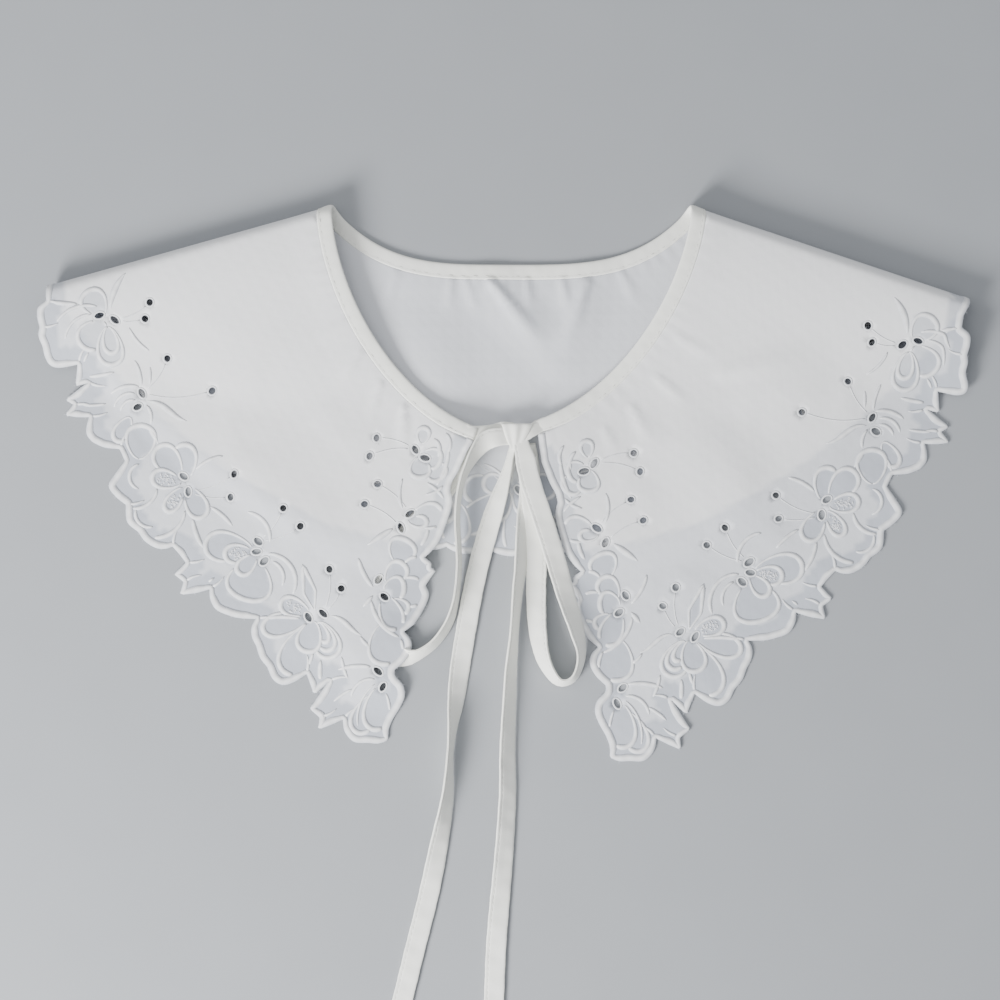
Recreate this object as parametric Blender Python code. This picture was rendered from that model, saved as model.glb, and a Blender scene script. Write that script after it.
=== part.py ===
# A detachable collar of white cloth with an embroidered, scalloped hem, laid flat on a table.
# The collar is one cut: a back panel and two long fronts, folded softly over at both shoulders, so that the
# fronts lie on the back panel. A binding wraps the neck edge and runs on into two ties in a bow.
# Lengths are millimetres until the meshes are made. Plan axes: x to the right, y up the picture, z off the table.
# "Side" places are measured on one front: a outwards from the centre line, b down from the neck corners.

import math

import bmesh
import bpy
import numpy as np
from mathutils import Matrix
from mathutils.geometry import delaunay_2d_cdt

MM = 0.001

# Driving sizes
NECK_HALF_WIDTH = 71.4
BACK_NECK_DEPTH = 22.8
BACK_NECK_POWER = 3.6
FRONT_NECK_DEPTH = 91.0
FRONT_NECK_POWER = 1.75
FRONT_NECK_END = 13.0
BINDING_WIDTH = 6.0
BINDING_HALF_THICKNESS = 0.9
WALL = 1.0
SEAM_GAP = 0.3
FOLD_RADIUS = 4.6
TAPE_WIDTH = 8.0
TAPE_THICKNESS = 1.0

# Each side's shoulder fold falls away from the level at this many degrees
FOLD_SLOPE = {-1: 15.7, 1: 18.5}

# As it was laid, the right front has turned a little about its neck corner, and its hem has slipped down as
# well, with its first lobes drawn in: turn, stretch, step out, step down, drawn in
NECK_SET = {-1: (0.0, 1.0, 0.0, 0.0, 0.0), 1: (2.8, 1.0, 0.0, 0.0, 0.0)}
HEM_SET = {-1: (0.0, 1.0, 0.0, 0.0, 0.0), 1: (2.3, 1.01, -1.1, 5.9, 4.2)}
DRAWN_FROM = (172.0, 64.0)
DRAWN_SPREAD = (8.0, 12.0)

# The hem of one front, from the shoulder fold round the point to the neck: a, b, sharp. The line bends smoothly
# at a 0 and turns sharply at a 1, at the notch between two lobes or at the tip of a leaf.
FRONT_HEM = (
    (184.3, 33.1, 1), (183.9, 37.9, 1), (187.2, 40.6, 0), (187.6, 44.2, 0), (186.8, 48.3, 1),
    (187.4, 51.6, 0), (186.0, 55.8, 1), (185.3, 59.8, 0), (183.5, 62.9, 0), (179.8, 63.8, 0),
    (172.6, 62.5, 1), (173.8, 70.9, 1), (168.9, 69.9, 1), (177.9, 76.6, 1), (174.8, 78.6, 1),
    (178.2, 82.7, 1), (173.4, 83.4, 0), (168.5, 83.4, 1), (169.6, 87.4, 0), (169.5, 90.6, 0),
    (167.4, 93.4, 1), (162.6, 95.5, 0), (156.4, 96.2, 1), (154.2, 101.2, 1), (158.2, 106.4, 0),
    (160.7, 111.0, 0), (158.2, 115.0, 0), (153.8, 118.6, 1), (153.8, 122.4, 0), (153.0, 126.0, 0),
    (149.0, 129.4, 1), (146.4, 133.0, 0), (142.0, 135.7, 0), (138.2, 136.0, 0), (135.4, 135.0, 1),
    (132.6, 138.2, 0), (129.8, 141.8, 1), (134.5, 146.4, 1), (130.8, 149.4, 1), (132.2, 154.4, 1),
    (126.2, 153.7, 0), (120.4, 152.1, 1), (120.2, 156.0, 0), (118.4, 159.8, 0), (115.8, 161.6, 1),
    (109.4, 163.6, 0), (101.8, 164.1, 1), (103.6, 167.6, 0), (103.5, 171.4, 0), (101.8, 175.0, 1),
    (100.2, 179.8, 0), (97.4, 183.4, 1), (95.2, 188.2, 0), (91.6, 190.4, 0), (87.0, 189.3, 0),
    (81.7, 185.9, 1), (78.8, 194.2, 1), (72.4, 188.6, 1), (80.3, 200.2, 1), (76.4, 203.6, 1),
    (77.0, 208.2, 1), (72.2, 206.4, 0), (67.2, 204.1, 1), (66.4, 209.2, 0), (62.8, 213.2, 0),
    (57.0, 213.6, 1), (53.0, 213.8, 0), (49.6, 212.6, 1), (49.2, 208.0, 0), (47.5, 203.9, 1),
    (44.6, 199.2, 0), (42.9, 194.8, 0), (43.6, 190.6, 0), (46.6, 187.0, 0), (46.8, 184.2, 1),
    (42.7, 180.6, 0), (40.2, 176.2, 0), (40.5, 172.4, 0), (43.2, 169.2, 1), (39.0, 166.1, 1),
    (35.8, 161.2, 0), (33.3, 155.0, 0), (34.6, 150.8, 1), (32.6, 147.8, 0), (30.6, 145.0, 1),
    (32.4, 144.0, 1), (32.3, 141.8, 1), (35.2, 139.6, 1), (32.0, 136.8, 0), (29.0, 132.8, 0),
    (26.6, 126.8, 0), (24.4, 120.0, 0), (24.0, 116.0, 0), (24.8, 112.8, 1), (23.8, 109.2, 0),
    (21.4, 105.2, 0), (19.4, 100.8, 0), (17.7, 97.0, 1),
)

# The line under the back panel's lobes, from the centre outwards to the shoulder fold: a, b
BACK_HEM = (
    (0.0, 136.4), (24.0, 135.0), (48.0, 131.4), (72.0, 124.8), (96.0, 112.8), (118.0, 99.2),
    (138.0, 83.0), (156.0, 66.0), (170.0, 49.5), (178.6, 38.0), (184.2, 30.4),
)
BACK_LOBE = 17.4
BACK_LOBE_DEPTH = 2.6

# Soft ridges of the laid cloth, as it lies: x and y of both ends, half width, height
FRONT_RIDGES = (
    (-150.0, -52.0, -60.0, -62.0, 13.0, 1.2),
    (-110.0, -96.0, -66.0, -150.0, 12.0, 1.0),
    (88.0, -62.0, 128.0, -78.0, 13.0, 1.8),
    (62.0, -70.0, 96.0, -128.0, 12.0, 1.2),
)
BACK_RIDGES = (
    (-9.0, -29.0, 17.0, -59.0, 7.0, 1.7),
    (32.0, -29.0, 20.0, -59.0, 7.0, 1.7),
    (-38.0, -40.0, -22.0, -84.0, 10.0, 1.2),
)

# The bow's strands, from the knot outwards: x, y, z, roll of the tape about its own line in degrees
RIGHT_LOOP = (
    (7.0, -99.4, 6.2, 4), (8.6, -108.0, 5.7, 4), (12.0, -122.8, 5.0, 6), (16.8, -138.0, 4.3, 12),
    (21.2, -153.2, 3.8, 24), (26.0, -168.8, 4.2, 46), (27.8, -179.0, 4.5, 66), (24.8, -187.8, 4.6, 72),
    (18.6, -189.2, 4.5, 66), (13.0, -181.0, 4.3, 50), (10.4, -168.8, 3.2, 30), (9.8, -153.2, 2.1, 10),
    (10.0, -145.0, 2.2, 2), (10.0, -136.0, 2.9, 0), (9.6, -129.0, 3.4, 0), (8.6, -121.0, 3.7, 0),
    (7.0, -110.0, 3.7, 0), (5.4, -99.4, 3.7, 0),
)
LEFT_LOOP = (
    (-13.4, -96.6, 7.0, 50), (-17.2, -100.0, 7.4, 66), (-20.4, -105.6, 7.8, 76), (-21.8, -112.8, 7.8, 78),
    (-21.8, -124.8, 7.2, 78), (-21.0, -136.0, 6.3, 78), (-21.0, -145.6, 5.2, 78), (-22.2, -156.4, 4.5, 76),
    (-25.0, -165.8, 4.3, 66), (-30.0, -173.2, 3.4, 40), (-36.4, -177.8, 1.9, 12), (-44.0, -179.4, 1.0, 2),
    (-53.0, -176.8, 0.9, 0), (-59.6, -169.0, 1.0, 0), (-60.4, -158.0, 1.6, 0), (-55.0, -145.6, 2.0, 0),
    (-45.0, -134.0, 2.0, 0), (-34.0, -121.6, 2.0, 0), (-24.0, -109.6, 2.4, 0), (-14.4, -99.0, 3.4, 0),
)
LEFT_TAIL = (
    (-6.0, -99.4, 3.0, 0), (-6.2, -106.0, 2.6, 0), (-6.6, -115.2, 2.1, 0), (-9.6, -130.4, 2.0, 0),
    (-12.0, -138.0, 1.9, 2), (-15.4, -153.2, 1.3, 0), (-18.2, -168.8, 1.0, 0), (-20.6, -184.0, 1.5, 14),
    (-22.2, -196.8, 2.9, 38), (-23.6, -208.0, 4.3, 66), (-24.6, -219.6, 4.5, 74), (-25.6, -235.2, 4.0, 56),
    (-28.2, -250.4, 2.9, 34), (-32.8, -273.2, 1.2, 6), (-38.6, -296.4, 0.9, 0), (-43.6, -316.8, 0.9, 0),
    (-47.6, -332.0, 0.9, 0), (-52.4, -350.0, 0.9, 0),
)
RIGHT_TAIL = (
    (2.8, -99.4, 2.2, 0), (3.2, -108.0, 2.1, 0), (3.6, -120.0, 2.2, 2), (3.4, -129.0, 3.2, 20),
    (3.1, -136.0, 4.3, 45), (2.7, -145.0, 4.6, 60), (1.6, -153.2, 4.3, 63), (0.8, -168.8, 4.3, 66),
    (-0.2, -184.0, 4.1, 56), (-0.8, -196.8, 3.9, 50), (-1.6, -216.0, 3.4, 42), (-1.6, -235.2, 2.9, 34),
    (-3.0, -258.0, 2.3, 24), (-5.0, -280.8, 1.5, 10), (-6.2, -296.4, 1.0, 0), (-7.0, -316.8, 0.9, 0),
    (-7.8, -334.0, 0.9, 0), (-9.2, -352.0, 0.9, 0),
)
KNOT_MIDDLE = (-0.8, -93.2, 4.7)
KNOT_HALF_SIZE = (11.2, 5.7, 2.9)

# How the fronts settle
BACK_TOP_CLEARANCE = 1.55
SETTLE_NECK = 86.0
SETTLE_END = 46.0
OVERHANG_STEP = 16.0
KNOT_LIFT = 2.4
KNOT_LIFT_SPREAD = 24.0
LOOP_LIFT = 3.1
LOOP_LIFT_SPREAD = 11.0
LOOP_GOES_UNDER = 11
NECK_EDGE_RISE = 0.4

# Fineness
HEM_STEP = 0.8
HEM_TOLERANCE = 0.28
CLOTH_GRID = 9.0
FOLD_ROWS = 8


def smooth_line(rows, step):
    """Points about `step` apart along a smooth curve through the rows."""
    points = np.array(rows, float)
    padded = np.vstack([2 * points[0] - points[1], points, 2 * points[-1] - points[-2]])
    line = []
    for p0, p1, p2, p3 in zip(padded[:-3], padded[1:-2], padded[2:-1], padded[3:]):
        count = max(2, int(np.linalg.norm((p2 - p1)[:2]) / step))
        for t in np.arange(count) / count:
            line.append(0.5 * (2 * p1 + (p2 - p0) * t + (2 * p0 - 5 * p1 + 4 * p2 - p3) * t ** 2
                               + (3 * p1 - p0 - 3 * p2 + p3) * t ** 3))
    line.append(points[-1])
    return np.array(line)


def ease(x):
    """0 below 0, 1 above 1, and level at both ends."""
    x = np.clip(x, 0.0, 1.0)
    return x * x * (3.0 - 2.0 * x)


def side_to_plan(side, places, laid):
    """Side places a, b turned about the neck corner and set on the left (-1) or right (1) of the plan."""
    degrees, stretch, step_out, step_down, drawn_in = laid[side]
    turn = math.radians(degrees)
    outer = ease((places[:, 0] - DRAWN_FROM[0]) / DRAWN_SPREAD[0])
    upper = ease((DRAWN_FROM[1] - places[:, 1]) / DRAWN_SPREAD[1])
    out = (places[:, 0] - drawn_in * outer * upper - NECK_HALF_WIDTH) * stretch
    down = places[:, 1] * stretch
    a = NECK_HALF_WIDTH + out * math.cos(turn) - down * math.sin(turn) + step_out
    b = out * math.sin(turn) + down * math.cos(turn) + step_down
    return np.column_stack([side * a, -b])


def fold_axes(side):
    """The fold line's neck corner, its direction outwards, and the direction from it into the cloth."""
    slope = math.radians(FOLD_SLOPE[side])
    corner = np.array([side * NECK_HALF_WIDTH, 0.0])
    along = np.array([side * math.cos(slope), -math.sin(slope)])
    inwards = np.array([-side * math.sin(slope), -math.cos(slope)])
    return corner, along, inwards


def plan_to_flat(side, plan):
    """A front's plan places turned back over the fold, into the flat cut that the back panel lies in."""
    corner, along, inwards = fold_axes(side)
    reach = (plan - corner) @ along
    depth = (plan - corner) @ inwards
    beyond = depth + (math.pi - 2.0) * FOLD_RADIUS
    return corner + np.outer(reach, along) - np.outer(beyond, inwards)


def distance_to_line(points, start, end):
    """Distance of plan points to a straight piece, and how far along it they are."""
    start, end = np.array(start), np.array(end)
    run = end - start
    share = np.clip(((points - start) @ run) / (run @ run), 0.0, 1.0)
    return np.linalg.norm(points - (start + np.outer(share, run)), axis=1), share


def ridges(plan, rows):
    """The height of soft ridges that fade out towards both ends."""
    height = np.zeros(len(plan))
    for x0, y0, x1, y1, half_width, top in rows:
        away, share = distance_to_line(plan, (x0, y0), (x1, y1))
        fade = 0.35 + 0.65 * np.sin(math.pi * np.clip(share, 0.0, 1.0))
        height += top * fade * ease(1.0 - away / (2.0 * half_width))
    return height


def back_hem_depth(x):
    """How far down the back panel reaches under its lobes, at a distance from the centre line."""
    line = np.array(BACK_HEM)
    return np.interp(np.abs(x), line[:, 0], line[:, 1], right=0.0)


def back_height(plan):
    """Middle of the back panel's wall over the table."""
    opening = ease((96.0 + plan[:, 1]) / 20.0) * ease((62.0 - np.abs(plan[:, 0])) / 14.0)
    return 0.5 * WALL + opening * ridges(plan, BACK_RIDGES)


def neck_rise(flat):
    """How far the wall is lifted next to the thicker binding, so that both lie on the table."""
    line = neck_line(6.0)
    nearest = np.full(len(flat), 1e3)
    for start, end in zip(line[:-1], line[1:]):
        nearest = np.minimum(nearest, distance_to_line(flat, start, end)[0])
    return NECK_EDGE_RISE * ease(1.0 - (nearest - BINDING_WIDTH - 2.0) / (2.0 * BINDING_WIDTH))


def front_height(side, plan, reach, depth):
    """Middle of a front's wall over the table."""
    covered = ease((back_hem_depth(plan[:, 0]) + 2.6 + OVERHANG_STEP + plan[:, 1]) / OVERHANG_STEP)
    rest = 0.5 * WALL + BACK_TOP_CLEARANCE * covered + 0.35 * ridges(plan, BACK_RIDGES)
    rest = rest + ridges(plan, FRONT_RIDGES)
    neck_end = np.array([side * FRONT_NECK_END, -90.0])
    from_knot = np.linalg.norm(plan - neck_end, axis=1)
    rest = rest + KNOT_LIFT * np.exp(-(from_knot / KNOT_LIFT_SPREAD) ** 2)
    if side < 0:
        hidden = np.array(LEFT_LOOP)[LOOP_GOES_UNDER:, :2]
        nearest = np.full(len(plan), 1e3)
        for start, end in zip(hidden[:-1], hidden[1:]):
            nearest = np.minimum(nearest, distance_to_line(plan, start, end)[0])
        rest = rest + LOOP_LIFT * ease(1.0 - (nearest - 5.0) / (2.0 * LOOP_LIFT_SPREAD))
    top = 0.5 * WALL + 2.0 * FOLD_RADIUS
    settle = SETTLE_END + (SETTLE_NECK - SETTLE_END) * ease(1.0 - reach / 110.0)
    fall = 1.0 - ease((depth - FOLD_RADIUS) / settle)
    return rest + (top - rest) * fall


def cloth_middle(flat):
    """The laid collar's middle surface at places of its flat cut."""
    flat = np.asarray(flat, float)
    placed = np.zeros((len(flat), 3))
    for side in (-1, 1):
        mine = (flat[:, 0] * side >= 0.0)
        corner, along, inwards = fold_axes(side)
        reach = (flat - corner) @ along
        beyond = -((flat - corner) @ inwards)
        turn = (beyond + FOLD_RADIUS) / FOLD_RADIUS
        back = mine & (turn <= 0.0)
        front = mine & (turn >= math.pi)
        bend = mine & ~back & ~front
        placed[back, :2] = flat[back]
        placed[back, 2] = back_height(flat[back])
        depth = beyond - (math.pi - 2.0) * FOLD_RADIUS
        plan = corner + np.outer(reach, along) + np.outer(depth, inwards)
        placed[front, :2] = plan[front]
        placed[front, 2] = front_height(side, plan, reach, depth)[front]
        bend_depth = FOLD_RADIUS * (1.0 - np.sin(turn))
        bend_plan = corner + np.outer(reach, along) + np.outer(bend_depth, inwards)
        rise = 0.5 * WALL + FOLD_RADIUS * (1.0 - np.cos(turn))
        placed[bend, :2] = bend_plan[bend]
        placed[bend, 2] = rise[bend]
    placed[:, 2] += neck_rise(flat)
    return placed


def cloth_normals(flat, step=0.25):
    """Unit normals of the laid surface, on the side that faces up on the back panel."""
    across = cloth_middle(flat + [step, 0.0]) - cloth_middle(flat - [step, 0.0])
    up = cloth_middle(flat + [0.0, step]) - cloth_middle(flat - [0.0, step])
    normals = np.cross(across, up)
    return normals / np.linalg.norm(normals, axis=1)[:, None]


def neck_line(step):
    """The neck edge in the flat cut, from the left front's end round the back to the right front's end."""
    halves = {}
    for side in (-1, 1):
        angles = np.linspace(0.0, 1.0, 200)
        b = FRONT_NECK_DEPTH * angles
        a = NECK_HALF_WIDTH * (1.0 - angles ** FRONT_NECK_POWER) ** (1.0 / FRONT_NECK_POWER)
        kept = a >= FRONT_NECK_END
        plan = side_to_plan(side, np.column_stack([a, b])[kept], NECK_SET)
        halves[side] = plan_to_flat(side, plan)
    x = np.linspace(-NECK_HALF_WIDTH + 2.5, NECK_HALF_WIDTH - 2.5, 200)
    back = np.column_stack([x, -BACK_NECK_DEPTH * (1.0 - np.abs(x / NECK_HALF_WIDTH) ** BACK_NECK_POWER)])
    whole = np.vstack([halves[-1][::-1], back, halves[1]])
    whole = whole[np.insert(np.linalg.norm(np.diff(whole, axis=0), axis=1) > 0.05, 0, True)]
    return evenly(ironed(whole), step)


def ironed(line, rounds=3):
    """A line with its small corners smoothed away."""
    line = evenly(line, 2.0)
    for _ in range(rounds):
        line[1:-1] = 0.25 * line[:-2] + 0.5 * line[1:-1] + 0.25 * line[2:]
    return line


def evenly(line, step):
    """The same line with points the same distance apart."""
    gone = np.insert(np.cumsum(np.linalg.norm(np.diff(line, axis=0), axis=1)), 0, 0.0)
    count = max(2, int(round(gone[-1] / step)) + 1)
    marks = np.linspace(0.0, gone[-1], count)
    return np.column_stack([np.interp(marks, gone, line[:, i]) for i in range(line.shape[1])])


def left_normals(line):
    """Unit normals on the left of the way along a line."""
    way = np.gradient(line, axis=0)
    way /= np.linalg.norm(way, axis=1)[:, None]
    return np.column_stack([-way[:, 1], way[:, 0]])


def offset_line(line, distance):
    """The line moved to its right by a distance, out from the neck into the cloth."""
    return line - left_normals(line) * distance


def scalloped(rows, step):
    """A line through the rows that bends smoothly at some of them and turns sharply at the others."""
    stretches = []
    first = 0
    for last in range(1, len(rows)):
        if rows[last][2]:
            stretches.append(smooth_line([row[:2] for row in rows[first:last + 1]], step)[:-1])
            first = last
    return np.vstack(stretches + [[rows[-1][:2]]])


def back_hem(step):
    """The back panel's hem from the centre outwards, with a shallow lobe over each stretch of its line."""
    line = evenly(smooth_line(BACK_HEM, step), step)
    gone = np.arange(len(line)) * step
    bulge = BACK_LOBE_DEPTH * np.abs(np.cos(math.pi * gone / BACK_LOBE)) ** 0.6
    fade = ease((gone[-1] - gone) / 6.0)
    return line + left_normals(line) * (bulge * fade)[:, None]


def hem_outline():
    """The scalloped hem in the flat cut, from the right front's neck end round to the left front's."""
    runs = []
    for side in (1, -1):
        front = plan_to_flat(side, side_to_plan(side, scalloped(FRONT_HEM, HEM_STEP), HEM_SET))
        back = back_hem(HEM_STEP) * [side, -1.0]
        run = np.vstack([front[::-1], back[::-1]])
        runs.append(run if side > 0 else run[::-1])
    return evenly(np.vstack([runs[0], runs[1][1:]]), HEM_STEP)


def simplified(line, tolerance):
    """The line with only the points that its shape needs."""
    kept = np.zeros(len(line), bool)
    kept[[0, -1]] = True
    work = [(0, len(line) - 1)]
    while work:
        first, last = work.pop()
        if last - first < 2:
            continue
        away, _ = distance_to_line(line[first + 1:last], line[first], line[last])
        worst = int(np.argmax(away))
        if away[worst] > tolerance:
            middle = first + 1 + worst
            kept[middle] = True
            work += [(first, middle), (middle, last)]
    return line[kept]


def inside(points, outline):
    """Which points lie inside a closed outline."""
    result = np.zeros(len(points), bool)
    ends = np.roll(outline, -1, axis=0)
    for (x0, y0), (x1, y1) in zip(outline, ends):
        crosses = (y0 > points[:, 1]) != (y1 > points[:, 1])
        if crosses.any():
            at = x0 + (points[:, 1] - y0) * (x1 - x0) / ((y1 - y0) or 1e-9)
            result ^= crosses & (points[:, 0] < at)
    return result


def inner_points(outline, spacing, clearance):
    """Grid points of the flat cut, with closer rows along both shoulder folds."""
    low, high = outline.min(axis=0), outline.max(axis=0)
    columns = np.arange(low[0], high[0], spacing)
    rows = np.arange(low[1], high[1], spacing)
    grid = np.array([(x + 0.5 * spacing * (i % 2), y) for i, y in enumerate(rows) for x in columns])
    for side in (-1, 1):
        corner, along, inwards = fold_axes(side)
        beyond = -((grid - corner) @ inwards)
        in_fold = (beyond > -FOLD_RADIUS - 3.0) & (beyond < (math.pi - 1.0) * FOLD_RADIUS + 3.0)
        grid = grid[~(in_fold & (grid[:, 0] * side > 0.0))]
        for row in range(FOLD_ROWS + 1):
            level = -FOLD_RADIUS + math.pi * FOLD_RADIUS * row / FOLD_ROWS
            stops = np.arange(-4.0, 130.0, spacing)
            grid = np.vstack([grid, corner + np.outer(stops, along) - level * inwards])
    grid = grid[inside(grid, outline)]
    nearest = np.full(len(grid), 1e3)
    for start, end in zip(outline, np.roll(outline, -1, axis=0)):
        nearest = np.minimum(nearest, distance_to_line(grid, start, end)[0])
    return grid[nearest > clearance]


def mesh_object(name, points, faces, colour, roughness):
    """An object in metres with its own cloth material."""
    mesh = bpy.data.meshes.new(name)
    mesh.from_pydata([tuple(p) for p in np.asarray(points) * MM], [], faces)
    shape = bmesh.new()
    shape.from_mesh(mesh)
    bmesh.ops.triangulate(shape, faces=shape.faces)
    shape.to_mesh(mesh)
    shape.free()
    item = bpy.data.objects.new(name, mesh)
    bpy.context.scene.collection.objects.link(item)
    material = bpy.data.materials.new(name + "_cloth")
    material.use_nodes = True
    shader = material.node_tree.nodes["Principled BSDF"]
    shader.inputs["Base Color"].default_value = (*colour, 1.0)
    shader.inputs["Roughness"].default_value = roughness
    shader.inputs["Metallic"].default_value = 0.0
    mesh.materials.append(material)
    mesh.shade_smooth()
    return item


def swept(sections, name, colour, roughness):
    """A closed solid through rings of the same number of points."""
    count = len(sections[0])
    points = np.vstack(sections)
    faces = []
    for ring in range(len(sections) - 1):
        for i in range(count):
            j = (i + 1) % count
            faces.append((ring * count + i, ring * count + j, (ring + 1) * count + j, (ring + 1) * count + i))
    faces.append(tuple(range(count))[::-1])
    faces.append(tuple((len(sections) - 1) * count + i for i in range(count)))
    item = mesh_object(name, points, faces, colour, roughness)
    shape = bmesh.new()
    shape.from_mesh(item.data)
    bmesh.ops.recalc_face_normals(shape, faces=shape.faces)
    shape.to_mesh(item.data)
    shape.free()
    return item


def build_body():
    """The one-piece collar cloth, a wall with the scalloped hem and both shoulder folds."""
    neck = offset_line(neck_line(5.0), BINDING_WIDTH + SEAM_GAP)
    hem = simplified(hem_outline(), HEM_TOLERANCE)
    outline = np.vstack([neck, hem])
    fill = inner_points(outline, CLOTH_GRID, 0.42 * CLOTH_GRID)
    places = np.vstack([outline, fill])
    count = len(outline)
    edges = [(i, (i + 1) % count) for i in range(count)]
    made = delaunay_2d_cdt([tuple(p) for p in places], edges, [], 1, 1e-6)
    flat = np.array([tuple(v) for v in made[0]])
    triangles = [tuple(face) for face in made[2]]
    area = sum(cross_of(flat, face) for face in triangles)
    if area < 0.0:
        triangles = [face[::-1] for face in triangles]
    middle = cloth_middle(flat)
    normals = cloth_normals(flat)
    points = np.vstack([middle + normals * 0.5 * WALL, middle - normals * 0.5 * WALL])
    total = len(flat)
    used = {}
    for face in triangles:
        for i in range(3):
            used[(face[i], face[(i + 1) % 3])] = True
    faces = list(triangles) + [tuple(total + i for i in face[::-1]) for face in triangles]
    for start, end in used:
        if (end, start) not in used:
            faces.append((end, start, total + start, total + end))
    return mesh_object("collar_body", points, faces, (0.80, 0.80, 0.81), 0.85)


def cross_of(flat, face):
    """Twice the signed area of a triangle."""
    p, q, r = (flat[i] for i in face[:3])
    return (q[0] - p[0]) * (r[1] - p[1]) - (q[1] - p[1]) * (r[0] - p[0])


def build_binding():
    """The binding round the neck edge, as a flat band with eased edges."""
    line = neck_line(4.0)
    profile = ((0.0, 0.45), (0.12, 1.0), (0.5, 1.0), (0.88, 1.0), (1.0, 0.45))
    upper = [(share, thick) for share, thick in profile]
    lower = [(share, -thick) for share, thick in reversed(profile)]
    rails = []
    for share, thick in upper + lower:
        flat = offset_line(line, BINDING_WIDTH * share)
        rails.append(cloth_middle(flat) + cloth_normals(flat) * thick * BINDING_HALF_THICKNESS)
    sections = [np.array([rail[i] for rail in rails]) for i in range(len(line))]
    return swept(sections, "neck_binding", (0.78, 0.78, 0.75), 0.8)


def build_tape(name, rows):
    """A strand of folded bias tape along its route, turned by its roll."""
    line = evenly(smooth_line(rows, 2.0), 4.0)
    way = np.gradient(line[:, :3], axis=0)
    way /= np.linalg.norm(way, axis=1)[:, None]
    level = np.cross(way, [0.0, 0.0, 1.0])
    level /= np.linalg.norm(level, axis=1)[:, None]
    upright = np.cross(level, way)
    roll = np.radians(line[:, 3])[:, None]
    across = level * np.cos(roll) + upright * np.sin(roll)
    through = upright * np.cos(roll) - level * np.sin(roll)
    half_width, half_thick = 0.5 * TAPE_WIDTH, 0.5 * TAPE_THICKNESS
    corners = ((-1, -0.4), (-0.86, -1), (0.86, -1), (1, -0.4), (1, 0.4), (0.86, 1), (-0.86, 1), (-1, 0.4))
    sections = [np.array([line[i, :3] + across[i] * u * half_width + through[i] * v * half_thick
                          for u, v in corners]) for i in range(len(line))]
    return swept(sections, name, (0.78, 0.78, 0.75), 0.8)


def build_knot():
    """The bow's knot, a plump rounded block."""
    power = 0.62
    rings = 9
    around = 16
    sections = []
    for ring in range(rings):
        tilt = -0.5 * math.pi * 0.9 + math.pi * 0.9 * ring / (rings - 1)
        across = math.copysign(abs(math.sin(tilt)) ** power, math.sin(tilt))
        size = math.cos(tilt) ** power
        section = []
        for step in range(around):
            turn = 2.0 * math.pi * step / around
            y = math.copysign(abs(math.cos(turn)) ** power, math.cos(turn)) * size
            z = math.copysign(abs(math.sin(turn)) ** power, math.sin(turn)) * size
            section.append([KNOT_MIDDLE[0] + KNOT_HALF_SIZE[0] * across,
                            KNOT_MIDDLE[1] + KNOT_HALF_SIZE[1] * y,
                            KNOT_MIDDLE[2] + KNOT_HALF_SIZE[2] * z])
        sections.append(np.array(section))
    return swept(sections, "bow_knot", (0.78, 0.78, 0.75), 0.8)


def stand_on_origin(carried, others):
    """Move every piece so that the origin is under the middle of the carried ones, on the table."""
    corners = np.array([item.matrix_world @ vertex.co for item in carried for vertex in item.data.vertices])
    low, high = corners.min(axis=0), corners.max(axis=0)
    shift = Matrix.Translation((-0.5 * (low[0] + high[0]), -0.5 * (low[1] + high[1]), -low[2]))
    for item in carried + others:
        item.data.transform(shift)


def clear_scene():
    """An empty scene to build in."""
    for item in list(bpy.data.objects):
        bpy.data.objects.remove(item, do_unlink=True)


def main():
    clear_scene()
    collar = [build_body(), build_binding(), build_knot()]
    ties = [
        build_tape("tie_loop_left", LEFT_LOOP),
        build_tape("tie_loop_right", RIGHT_LOOP),
        build_tape("tie_tail_left", LEFT_TAIL),
        build_tape("tie_tail_right", RIGHT_TAIL),
    ]
    stand_on_origin(collar, ties)


main()
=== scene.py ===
"""Looks of a white embroidered collar laid flat: cloth, satin-stitch flowers, eyelets, bound neck and bow.

Lengths are millimetres until a mesh is made. Plan axes: x to the right, y up the picture, z off the table.
"Side" places are measured on one front: a outwards from the centre line, b down from the neck corners.
"Flat" places are those of the one-piece cut, which lies in the plan as its back panel does.
"""
import math
import random
from functools import partial
from types import SimpleNamespace

import bmesh
import bpy
import numpy as np
from mathutils.geometry import delaunay_2d_cdt
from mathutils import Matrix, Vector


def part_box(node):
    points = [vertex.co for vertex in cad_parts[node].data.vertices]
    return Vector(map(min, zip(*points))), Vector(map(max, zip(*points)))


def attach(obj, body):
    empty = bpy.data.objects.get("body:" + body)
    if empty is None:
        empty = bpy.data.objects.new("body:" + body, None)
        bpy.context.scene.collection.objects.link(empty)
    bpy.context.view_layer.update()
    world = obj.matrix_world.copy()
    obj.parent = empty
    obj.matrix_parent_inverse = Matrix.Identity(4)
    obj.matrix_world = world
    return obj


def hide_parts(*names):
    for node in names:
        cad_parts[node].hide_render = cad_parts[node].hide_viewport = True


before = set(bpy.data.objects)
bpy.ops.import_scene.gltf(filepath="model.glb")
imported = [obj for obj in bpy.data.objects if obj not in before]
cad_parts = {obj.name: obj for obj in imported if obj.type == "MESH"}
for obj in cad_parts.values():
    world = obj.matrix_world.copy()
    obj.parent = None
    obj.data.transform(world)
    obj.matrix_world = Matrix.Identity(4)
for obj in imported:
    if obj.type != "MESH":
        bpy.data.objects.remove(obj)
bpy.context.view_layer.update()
MM = 0.001

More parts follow.
